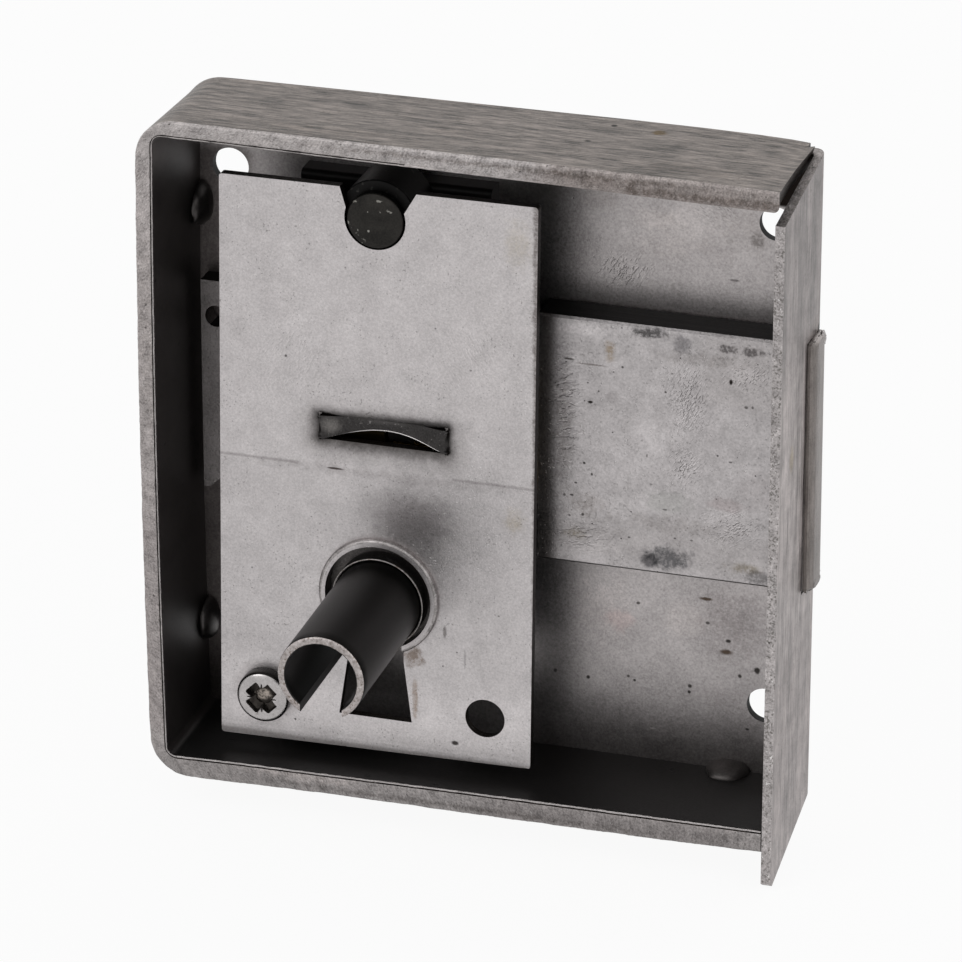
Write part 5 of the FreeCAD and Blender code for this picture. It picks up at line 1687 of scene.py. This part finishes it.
@dataclass
class BoltBar:
    """The bolt with rolled sides made near black as painted shade, a rounded end, and knobs that
    cutting left on it.
    """

    end: float = 101.1
    foot: float = 37.6
    top: float = 77.8
    front: float = 13.2
    back: float = 19.7
    neck: float = 100.2
    swell: float = 0.38
    flare: float = 0.16
    furthest: float = 101.5
    round_x: float = 0.8
    round_y: float = 2.6
    round_z: float = 0.9
    outside: float = 100.02
    steps: tuple[float, ...] = (0.04, 0.12, 0.25, 0.45, 0.7, 1.0, 1.4, 1.8, 2.2, 2.6)
    easing: float = 0.15

    def _rounded(self, points: np.ndarray) -> np.ndarray:
        """Draw the end in by round_x (1 - sqrt(1 - a^2 - b^2)) towards its edges.

        a and b grow from 0 to 1 over the last round_y and round_z before an edge.

        Args:
            points: Points of the true bolt.

        Returns:
            The shifted points.
        """
        x, y, z = points.T
        a = np.clip(1 - np.minimum(y - self.front, self.back - y) / self.round_y, 0, 1)
        b = np.clip(1 - np.minimum(z - self.foot, self.top - z) / self.round_z, 0, 1)
        pull = self.round_x * (1 - np.sqrt(np.clip(1 - a * a - b * b, 0, 1)))
        tip = x > self.end - 0.05
        flared = np.where(x > self.neck + 0.02, self.flare, 0.0)
        y = y - flared * np.clip(1 - (y - self.front) / 1.0, 0, 1)
        z = z + flared * (np.clip(1 - (self.top - z) / 1.0, 0, 1)
                          - np.clip(1 - (z - self.foot) / 1.0, 0, 1))
        x = np.minimum(x + np.where(tip, self.swell - pull, 0.0), self.furthest)
        return np.stack([x, y, z], -1)

    def build(self, finishes: Finishes) -> list[Piece]:
        """Make the bolt and its knobs.

        Args:
            finishes: The materials.

        Returns:
            The new objects.
        """
        copy = SheetCopy("bolt")
        low, high = (100.0, 0, 0), (102, 30, 107)
        copy.slice(0, np.array([self.outside, self.neck, self.neck + 0.08]))
        steps = np.array(self.steps)
        copy.slice(1, np.append(self.front + steps, self.back - steps), low, high)
        copy.slice(2, np.append(self.foot + steps[:5], self.top - steps[:5]), low, high)
        copy.move(self._rounded(copy.points()))

        def wears(middles: np.ndarray, normals: np.ndarray) -> np.ndarray:
            """The end, the rolled sides and the rest of the bolt."""
            side = np.where(np.abs(normals[:, 2]) > 0.8, 1, 0)
            return np.where(middles[:, 0] > self.outside, 2, side)

        piece = copy.to_object("bolt_bar", finishes.of(BOLT, BOLT_SIDE_SHADE, BOLT_END), wears,
                               self.easing)
        settle(piece, Body.BOLT, "bolt", "bolt")
        upper = Lump((100.95, 18.2, 77.0), (0.62, 1.5, 1.15), 11)
        lower = Lump((100.9, 16.6, 38.6), (0.55, 3.0, 1.0), 12, 0.08)
        knobs = [upper.build("bolt_knob_upper", finishes.of(BURR)),
                 lower.build("bolt_knob_lower", finishes.of(BOLT_END))]
        return [piece, *(settle(knob, Body.BOLT, "bolt") for knob in knobs)]


@dataclass
class Lump:
    """A small knob of displaced metal: an ellipsoid with waves in its radius."""

    centre: Place
    reach: Place
    seed: int
    waves: float = 0.14
    wave_length: float = 0.9
    furthest: float = 101.5
    rings: int = 26
    sides: int = 40
    pole: float = 0.02
    smooth_angle: float = 60

    def build(self, name: str, materials: list[Material]) -> Piece:
        """Make the knob.

        Args:
            name: The piece's name.
            materials: Its one material.

        Returns:
            The new object.
        """
        plain = ball(self.rings, self.sides, self.pole)
        wavy = plain * (1 + self.waves * wander(plain, self.wave_length, self.seed))[..., None]
        points = wavy * np.array(self.reach) + np.array(self.centre)
        points[..., 0] = np.minimum(points[..., 0], self.furthest)
        faces = tube(self.rings, self.sides)
        skin = Skin(points.reshape(-1, 3), faces, np.zeros(len(faces)),
                    points[..., 1:].reshape(-1, 2) * MM)
        return skin.to_object(name, materials, self.smooth_angle)


@dataclass
class SlitTurning:
    """A turned ring round the key pipe's axis, with the pipe's slit below it."""

    name: str
    profile: list[tuple[float, float, int]]
    axis_x: float = 35.6
    axis_z: float = 30.6
    half_slit: float = 3.3
    steps: int = 150
    seed: int = 20
    waves: float = 0.0
    wave_length: float = 2.0
    wave_depth: float = 0.3
    droop: tuple[float, float] = (0.0, 0.0)
    droop_from: float = 5.0
    smooth_angle: float = 35

    def build(self, materials: list[Material]) -> Piece:
        """Turn the profile from one lip of the slit over the top to the other.

        At each radius the turn stops where the ring meets the slit's flat side, so both ends
        are flat.

        Args:
            materials: Finishes by the numbers in the profile; the last one is on the lips.

        Returns:
            The new object.
        """
        radius, depth, wears = (np.array(column) for column in zip(*self.profile))
        reach = math.pi - np.arcsin(self.half_slit / radius)
        share = np.linspace(-1, 1, self.steps)[:, None]
        turn = share * reach[None]
        x = self.axis_x + radius * np.sin(turn)
        z = self.axis_z + radius * np.cos(turn)
        y = np.broadcast_to(depth, x.shape)
        points = np.stack([x, y, z], -1)
        ragged = np.where(depth < depth.min() + self.wave_depth, self.waves, 0.0)
        ridge = ragged * wander(points, self.wave_length, self.seed)
        points[..., 1] += np.abs(ridge)
        fall = np.clip((self.droop_from - depth) / (self.droop_from - depth.min()), 0, 1)
        points[..., 0] += fall * self.droop[0]
        points[..., 2] += fall * self.droop[1]
        rows, columns = x.shape
        last = len(materials) - 1
        worn = np.append(np.tile(wears, rows - 1), [last, last])
        skin = Skin(points.reshape(-1, 3), tube(rows, columns), worn)
        return skin.to_object(self.name, materials, self.smooth_angle)


@dataclass
class Barrel:
    """The key pipe, and its sleeve with the curtain disc."""

    pipe_radius: float = 6.8
    bore_radius: float = 5.55
    front: float = -22.5
    back: float = 21.3
    sleeve_radius: float = 7.3
    sleeve_front: float = 4.76
    droop: tuple[float, float] = (0.2, -0.4)
    disc_radius: float = 12.0
    disc_front: float = 7.8
    disc_back: float = 9.0
    waves: float = 0.05

    def _pipe_profile(self) -> list[tuple[float, float, int]]:
        """Section of the pipe's wall: out along the outside and back through the bore.

        Returns:
            Radius, depth and number of the finish at each corner.
        """
        outside = [(self.pipe_radius, y, 0) for y in np.linspace(self.front + 0.4, self.back, 24)]
        inside = [(self.bore_radius, y, 1) for y in np.linspace(self.back, self.front + 0.3, 24)]
        end = [(self.bore_radius + 0.06, self.front + 0.1, 1)]
        end += [(r, self.front, 2) for r in np.linspace(self.bore_radius + 0.2,
                                                        self.pipe_radius - 0.34, 5)]
        end += [(self.pipe_radius - 0.17, self.front + 0.07, 2),
                (self.pipe_radius - 0.05, self.front + 0.2, 0)]
        return outside + inside + end

    def _sleeve_profile(self) -> list[tuple[float, float, int]]:
        """Section of the sleeve and the disc behind it.

        Returns:
            Radius, depth and number of the finish at each corner.
        """
        front, radius = self.sleeve_front, self.sleeve_radius
        lip = [(self.pipe_radius + 0.01, front + 0.05, 0), (self.pipe_radius + 0.4, front, 0),
               (radius - 0.26, front, 1), (radius - 0.13, front - 0.05, 1),
               (radius - 0.03, front, 1), (radius, front + 0.15, 3)]
        # The disc's front wears the collar wall's darker tone: painted shade behind the lip.
        disc = [(radius, self.disc_front, 3), (self.disc_radius - 0.1, self.disc_front, 0),
                (self.disc_radius, self.disc_front + 0.1, 0),
                (self.disc_radius, self.disc_back, 0),
                (self.pipe_radius + 0.01, self.disc_back, 0)]
        return lip + disc

    def build(self, finishes: Finishes) -> list[Piece]:
        """Make both turned pieces.

        Args:
            finishes: The materials.

        Returns:
            The new objects.
        """
        pipe = SlitTurning("pipe_shell", self._pipe_profile(), waves=self.waves,
                           droop=self.droop)
        shell = pipe.build(finishes.of(PIPE, SCALE_AND_SHADE, CUT_RING, SCALE_AND_SHADE))
        settle(shell, Body.BARREL, "key_pipe", "key_pipe")
        sleeve = SlitTurning("sleeve_ring", self._sleeve_profile())
        ring = sleeve.build(finishes.of(PIPE, SLEEVE_WEAR_AND_HIGHLIGHT, SCALE_AND_SHADE, COLLAR_WALL_SHADE, SCALE_AND_SHADE))
        settle(ring, Body.BARREL, "curtain_disc", "curtain_disc")
        return [shell, ring]


@dataclass
class Turning:
    """A solid turned about a line along the depth."""

    x: float
    z: float
    profile: list[tuple[float, float, int]]
    steps: int = 96
    smooth_angle: float = 35

    def points(self) -> np.ndarray:
        """Turn the profile: the first parameter is the angle, the second the profile.

        Returns:
            A grid of points.
        """
        radius, depth = (np.array(column) for column in list(zip(*self.profile))[:2])
        turn = np.linspace(0, 2 * math.pi, self.steps, endpoint=False)[:, None]
        x = self.x + radius * np.sin(turn)
        z = self.z + radius * np.cos(turn)
        return np.stack([x, np.broadcast_to(depth, x.shape), z], -1)

    def skin(self, points: np.ndarray) -> Skin:
        """Close the turned points into a skin whose ends are flat fans.

        Args:
            points: Points in millimetres.

        Returns:
            The skin.
        """
        rows, columns = points.shape[:2]
        wears = np.array([w for _, _, w in self.profile])
        faces = [tuple(f) for f in quads(rows, columns, close_rows=True).tolist()]
        ring = np.arange(rows) * columns
        caps = [tuple(ring), tuple(ring[::-1] + columns - 1)]
        worn = np.append(np.tile(wears[:-1], rows), [wears[0], wears[-1]])
        return Skin(points.reshape(-1, 3), faces + caps, worn)


@dataclass
class LocatingPost:
    """The stepped post whose domed tip stands in the cover's notch."""

    x: float = 35.3
    z: float = 92.5
    tip: float = 4.4
    tip_front: float = 6.0
    dome: float = 0.7
    shoulder: float = 7.5
    body: float = 6.0
    foot: float = 16.0
    tenon: float = 3.0
    flare: float = 3.75
    plate_back: float = 21.5

    def _profile(self) -> list[tuple[float, float, int]]:
        """From the middle of the dome to the riveted end behind the plate.

        Returns:
            Radius, depth and number of the finish at each corner.
        """
        crown = self.tip_front - self.dome
        dome = [(self.tip * s, crown + self.dome * s * s, 0) for s in np.linspace(0.03, 0.93, 14)]
        tip = [(self.tip - 0.12, self.tip_front - 0.05, 0), (self.tip, self.tip_front + 0.1, 2)]
        rest = [(self.tip, self.shoulder, 2), (self.body - 0.15, self.shoulder, 2),
                (self.body, self.shoulder + 0.15, 2), (self.body, self.foot, 2),
                (self.tenon, self.foot, 2), (self.tenon, self.plate_back - 0.75, 1),
                (self.flare, self.plate_back - 0.02, 1), (0.1, self.plate_back - 0.02, 1)]
        return dome + tip + rest

    def build(self, finishes: Finishes) -> Piece:
        """Make the post.

        Args:
            finishes: The materials.

        Returns:
            The new object.
        """
        turning = Turning(self.x, self.z, self._profile())
        piece = turning.skin(turning.points()).to_object(
            "post_turned", finishes.of(POST_DOME_SHADE, TURNED, POST_SIDE), turning.smooth_angle)
        return settle(piece, Body.CASE, "locating_post", "locating_post")


@dataclass
class CrossScrew:
    """The pan-head screw of the cover, with its cross recess and four marks between the arms."""

    x: float = 17.15
    z: float = 12.4
    front: float = 3.5
    seat: float = 6.0
    radius: float = 4.2
    shank: float = 1.95
    length: float = 10.0
    arm_half: float = 1.12
    arm_reach: float = 2.5
    arm_depth: float = 1.5
    heart: float = 1.6
    crown: float = 0.12
    flat: float = 3.3
    rim: float = 0.9
    mark_depth: float = 0.25
    steps: int = 144

    def _profile(self) -> list[tuple[float, float, int]]:
        """From the middle of the head over its rim and down the shank.

        Returns:
            Radius, depth and number of the finish at each corner.
        """
        face = [(r, self.front + self.crown * (r / self.flat) ** 2, 0)
                for r in np.linspace(0.02, self.flat, 56)]
        foot = self.front + self.crown + self.rim
        edge = [(self.flat + self.rim * math.sin(a), foot - self.rim * math.cos(a), wear)
                for a, wear in zip(np.radians((15, 30, 45, 60, 75, 90)), (0, 0, 2, 2, 2, 2))]
        rest = [(self.radius, self.seat - 0.12, 2), (self.radius - 0.1, self.seat, 0),
                (self.shank, self.seat, 0), (self.shank, self.seat + self.length, 0),
                (0.1, self.seat + self.length, 0)]
        return face + edge + rest

    def _recess(self, points: np.ndarray) -> np.ndarray:
        """Depth of the recess at each point of the head.

        Two bars across each other at 45 degrees, with round ends and steep sides, meet in a
        deeper round heart, and four shallow radial marks lie between them.

        Args:
            points: Points of the head.

        Returns:
            Depth in millimetres.
        """
        dx, dz = points[..., 0] - self.x, points[..., 2] - self.z
        first, second = (dx + dz) / math.sqrt(2), (dx - dz) / math.sqrt(2)
        radius = np.hypot(dx, dz)

        def bar(along: np.ndarray, across: np.ndarray) -> np.ndarray:
            """One bar's share of the full depth."""
            narrow = self.arm_half + 0.1 * np.sin(along * 2.2)
            side = np.clip((narrow - np.abs(across)) / 0.16, 0, 1)
            end = np.clip((self.arm_reach - np.abs(along)) / 0.2, 0, 1)
            slope = np.clip(1.25 - np.abs(along) / self.arm_reach * 0.75, 0, 1)
            return side * end * slope

        arms = np.maximum(bar(first, second), bar(second, first)) * self.arm_depth
        heart = np.clip((self.heart - radius) / 0.3, 0, 1) * self.arm_depth * 1.05
        thin = np.clip((0.11 - np.minimum(np.abs(dx), np.abs(dz))) / 0.06, 0, 1)
        marks = thin * np.clip((radius - 1.2) / 0.2, 0, 1) * np.clip((2.5 - radius) / 0.3, 0, 1)
        return np.maximum(np.maximum(arms, heart), marks * self.mark_depth)

    def build(self, finishes: Finishes) -> Piece:
        """Make the screw.

        Args:
            finishes: The materials.

        Returns:
            The new object.
        """
        turning = Turning(self.x, self.z, self._profile(), self.steps)
        points = turning.points()
        head = points[..., 1] < self.front + 0.5
        deep = np.where(head, self._recess(points), 0.0)
        points[..., 1] += deep
        skin = turning.skin(points)
        # Faces sunk in the recess wear the near-black recess finish: painted shade with some
        # grime.
        cells = (deep[:, :-1] + deep[:, 1:]) / 2
        cells = (cells + np.roll(cells, -1, 0)) / 2
        sunk = np.append(cells.ravel() > 0.1, [False, False])
        skin.wears = np.where(sunk, 1, skin.wears)
        piece = skin.to_object("cover_screw_head", finishes.of(SCREW, RECESS_SHADE_AND_GRIME, SCREW_SIDE),
                               turning.smooth_angle)
        return settle(piece, Body.CASE, "cover_screw", "cover_screw")


@dataclass
class WeldBeads:
    """The beads that hold the bar to the plate: half-sunk egg shapes with waves."""

    length: float = 7.0
    wall_leg: float = 4.4
    plate_leg: float = 1.8
    wall: float = 3.0
    plate: float = 20.0
    height: float = 107.0
    left_z: tuple[float, ...] = (17.2, 86.6)
    foot_x: tuple[float, ...] = (24.0, 87.2)
    top_x: tuple[float, ...] = (24.0, 76.0)
    sink: float = 0.15
    waves: float = 0.02
    wave_length: float = 1.2
    first_seed: int = 30
    rings: int = 36
    sides: int = 44
    pole: float = 0.03
    smooth_angle: float = 70

    def _bead(self, centre: np.ndarray, run: int, away: int, sign: float,
              seed: int) -> np.ndarray:
        """Points of one bead: an egg cut off just inside the wall and the plate.

        Args:
            centre: Corner of wall and plate at the bead's middle.
            run: Axis that the bead runs along.
            away: Axis that leads off the wall.
            sign: Direction off the wall.
            seed: Seed of its waves.

        Returns:
            A grid of points.
        """
        egg = ball(self.rings, self.sides, self.pole)[..., [2, 0, 1]]
        egg = egg * (1 + self.waves * wander(egg, self.wave_length, seed))[..., None]
        points = np.zeros_like(egg)
        points[..., run] = egg[..., 0] * self.length / 2
        points[..., away] = np.maximum(egg[..., 1] * self.plate_leg, -self.sink) * sign
        points[..., 1] = np.minimum(egg[..., 2] * self.wall_leg, self.sink)
        return points + centre

    def build(self, finishes: Finishes) -> Piece:
        """Make all beads as one piece.

        Args:
            finishes: The materials.

        Returns:
            The new object.
        """
        places = [(np.array([self.wall, self.plate, z]), 2, 0, 1.0) for z in self.left_z]
        places += [(np.array([x, self.plate, self.wall]), 0, 2, 1.0) for x in self.foot_x]
        top = self.height - self.wall
        places += [(np.array([x, self.plate, top]), 0, 2, -1.0) for x in self.top_x]
        grids = [self._bead(*place, seed=self.first_seed + n) for n, place in enumerate(places)]
        size = self.rings * self.sides
        faces = [face for n in range(len(grids))
                 for face in tube(self.rings, self.sides, n * size)]
        points = np.concatenate([g.reshape(-1, 3) for g in grids])
        skin = Skin(points, faces, np.zeros(len(faces)))
        piece = skin.to_object("weld_beads", finishes.of(BEAD), self.smooth_angle)
        return settle(piece, Body.CASE, "rim_welds", "rim_welds")


@dataclass
class LeafSprings:
    """The four spring strips, which bend between their lever and the locating post."""

    count: int = 4
    foot: float = 65.6
    stem_top: float = 68.0
    tip: float = 86.1
    line_x: float = 32.2
    pitch: float = 0.8
    reach_x: float = 38.3
    depth: float = 12.0
    easing: float = 0.04

    def _strip(self, number: int, finishes: Finishes) -> Piece:
        """Make one strip, cut across often enough to bend smoothly.

        Args:
            number: Which lever it belongs to.
            finishes: The materials.

        Returns:
            The strip.
        """
        node = f"lever_spring_{number}"
        copy = SheetCopy(node)
        copy.slice(2, np.arange(self.foot + self.pitch / 2, self.tip, self.pitch))
        copy.slice(0, np.arange(self.line_x + self.pitch, self.reach_x, self.pitch))
        piece = copy.to_object(f"leaf_spring_{number}", finishes.of(TURNED),
                               lambda middles, normals: np.zeros(len(middles)), self.easing)
        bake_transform(piece)
        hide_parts(node)
        log.info("%s: %d points, bends between lever and case", piece.name,
                 len(piece.data.vertices))
        return piece

    def build(self, finishes: Finishes) -> list[Piece]:
        """Make the strips."""
        return [self._strip(number, finishes) for number in range(1, self.count + 1)]


class HiddenWorks:
    """The pieces behind the cover, which keep their CAD shape and get a finish."""

    def __init__(self, finishes: Finishes) -> None:
        """Choose a finish for each node that stays.

        Args:
            finishes: The materials.
        """
        worn = {"post_pad": SCALE_AND_SHADE, "cover_stud": TURNED, "lever_pivot": TURNED,
                "lever_spacers": TURNED, "bolt_stump": TURNED, "thrust_ring": PIPE}
        worn |= {f"lever_{number}": BRASS for number in range(1, 5)}
        self.choice = dict(zip(worn, finishes.of(*worn.values())))

    def dress(self) -> None:
        """Put each finish in its node's material slots."""
        for node, material in self.choice.items():
            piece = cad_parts[node]
            for slot in piece.material_slots:
                slot.material = material
            log.info("%s keeps its shape and wears %s", node, material.name)


# ---- studio ----


@dataclass
class Studio:
    """Pale floor, soft lamps, white surroundings and the camera."""

    floor_below: float = 0.0005
    floor_reach: float = 4.0
    floor_colour: Colour = (0.85, 0.85, 0.85)
    floor_glow: float = 0.93
    sky_light: float = 0.55
    near_clip: float = 0.05
    far_clip: float = 50.0
    lens: float = 263.65
    sensor: float = 36.0
    eye: Place = (0.29496, -0.93736, 0.42664)
    ahead: Place = (-0.27744, 0.87139, -0.40460)
    up: Place = (-0.12184, 0.38582, 0.91449)
    lamps: tuple[tuple[str, Place, float, float], ...] = (
        ("lamp_left", (-0.9, -1.1, 1.2), 0.9, 5.0),
        ("lamp_right", (1.3, -0.9, 0.8), 0.9, 3.5),
        ("lamp_back", (0.3, 1.5, 1.2), 1.0, 4.0),
    )

    def _floor_material(self) -> Material:
        """A pale matt floor that reads as white, with a faint shadow.

        Returns:
            The material.
        """
        material = bpy.data.materials.new("pale_floor")
        material.use_nodes = True
        tree = material.node_tree
        tree.nodes.clear()
        c = Canvas(tree)
        matt = c.node("ShaderNodeBsdfDiffuse")
        matt.inputs["Color"].default_value = (*self.floor_colour, 1.0)
        glow = c.node("ShaderNodeEmission")
        seen = c.seen()
        mix = c.node("ShaderNodeMixShader")
        c.feed(mix.inputs[0], c.math("MULTIPLY", seen, self.floor_glow))
        c.feed(mix.inputs[1], matt.outputs[0])
        c.feed(mix.inputs[2], glow.outputs[0])
        c.feed(c.node("ShaderNodeOutputMaterial").inputs[0], mix.outputs[0])
        return material

    def _floor(self) -> None:
        """Lay the floor just below the lowest corner of the lock."""
        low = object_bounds()[0].z - self.floor_below
        r = self.floor_reach
        mesh = bpy.data.meshes.new("floor")
        mesh.from_pydata([(-r, -r, low), (r, -r, low), (r, r, low), (-r, r, low)], [],
                         [(0, 1, 2, 3)])
        mesh.materials.append(self._floor_material())
        floor = bpy.data.objects.new("floor", mesh)
        bpy.context.scene.collection.objects.link(floor)
        floor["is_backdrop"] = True

    def _surroundings(self) -> None:
        """White where it is seen or mirrored, and a softer light on matt surfaces."""
        world = bpy.data.worlds.new("soft_white")
        bpy.context.scene.world = world
        world.use_nodes = True
        c = Canvas(world.node_tree)
        back = world.node_tree.nodes["Background"]
        back.inputs["Color"].default_value = (1.0, 1.0, 1.0, 1.0)
        c.feed(back.inputs["Strength"], c.fade(c.seen(), 0.0, 1.0, self.sky_light, 1.0))

    def _lamp(self, name: str, place: Place, size: float, power: float) -> None:
        """Hang one soft lamp that looks at the lock.

        Args:
            name: The lamp's name.
            place: Where it hangs.
            size: Side of its square.
            power: Watts.
        """
        light = bpy.data.lights.new(name, "AREA")
        light.size = size
        light.energy = power
        lamp = bpy.data.objects.new(name, light)
        lamp.location = place
        lamp.rotation_euler = (-Vector(place)).to_track_quat("-Z", "Y").to_euler()
        bpy.context.scene.collection.objects.link(lamp)

    def _camera(self) -> None:
        """Set the camera at the photograph's view."""
        data = bpy.data.cameras.new("camera")
        data.lens = self.lens
        data.sensor_width = self.sensor
        data.clip_start, data.clip_end = self.near_clip, self.far_clip
        camera = bpy.data.objects.new("camera", data)
        ahead, up = Vector(self.ahead).normalized(), Vector(self.up)
        right = ahead.cross(up).normalized()
        up = right.cross(ahead)
        turned = Matrix((right, up, -ahead)).transposed().to_4x4()
        camera.matrix_world = Matrix.Translation(Vector(self.eye)) @ turned
        bpy.context.scene.collection.objects.link(camera)
        bpy.context.scene.camera = camera

    def build(self) -> None:
        """Make the floor, lamps, surroundings and camera."""
        self._floor()
        self._surroundings()
        for lamp in self.lamps:
            self._lamp(*lamp)
        self._camera()
        bpy.context.scene.view_settings.view_transform = "Standard"
        log.info("studio: %d lamps", len(self.lamps))


def main() -> None:
    """Build the lock and its studio in order."""
    logging.basicConfig(level=logging.INFO, format="%(name)s: %(message)s")
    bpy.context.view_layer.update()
    finishes = Finishes()
    Studio().build()
    CaseShell().build(finishes)
    RimBar().build(finishes)
    WeldBeads().build(finishes)
    CoverSheet().build(finishes)
    BridgeHighlight().build(finishes)
    LocatingPost().build(finishes)
    CrossScrew().build(finishes)
    BoltBar().build(finishes)
    Barrel().build(finishes)
    LeafSprings().build(finishes)
    HiddenWorks(finishes).dress()


if __name__ == "__main__":
    main()
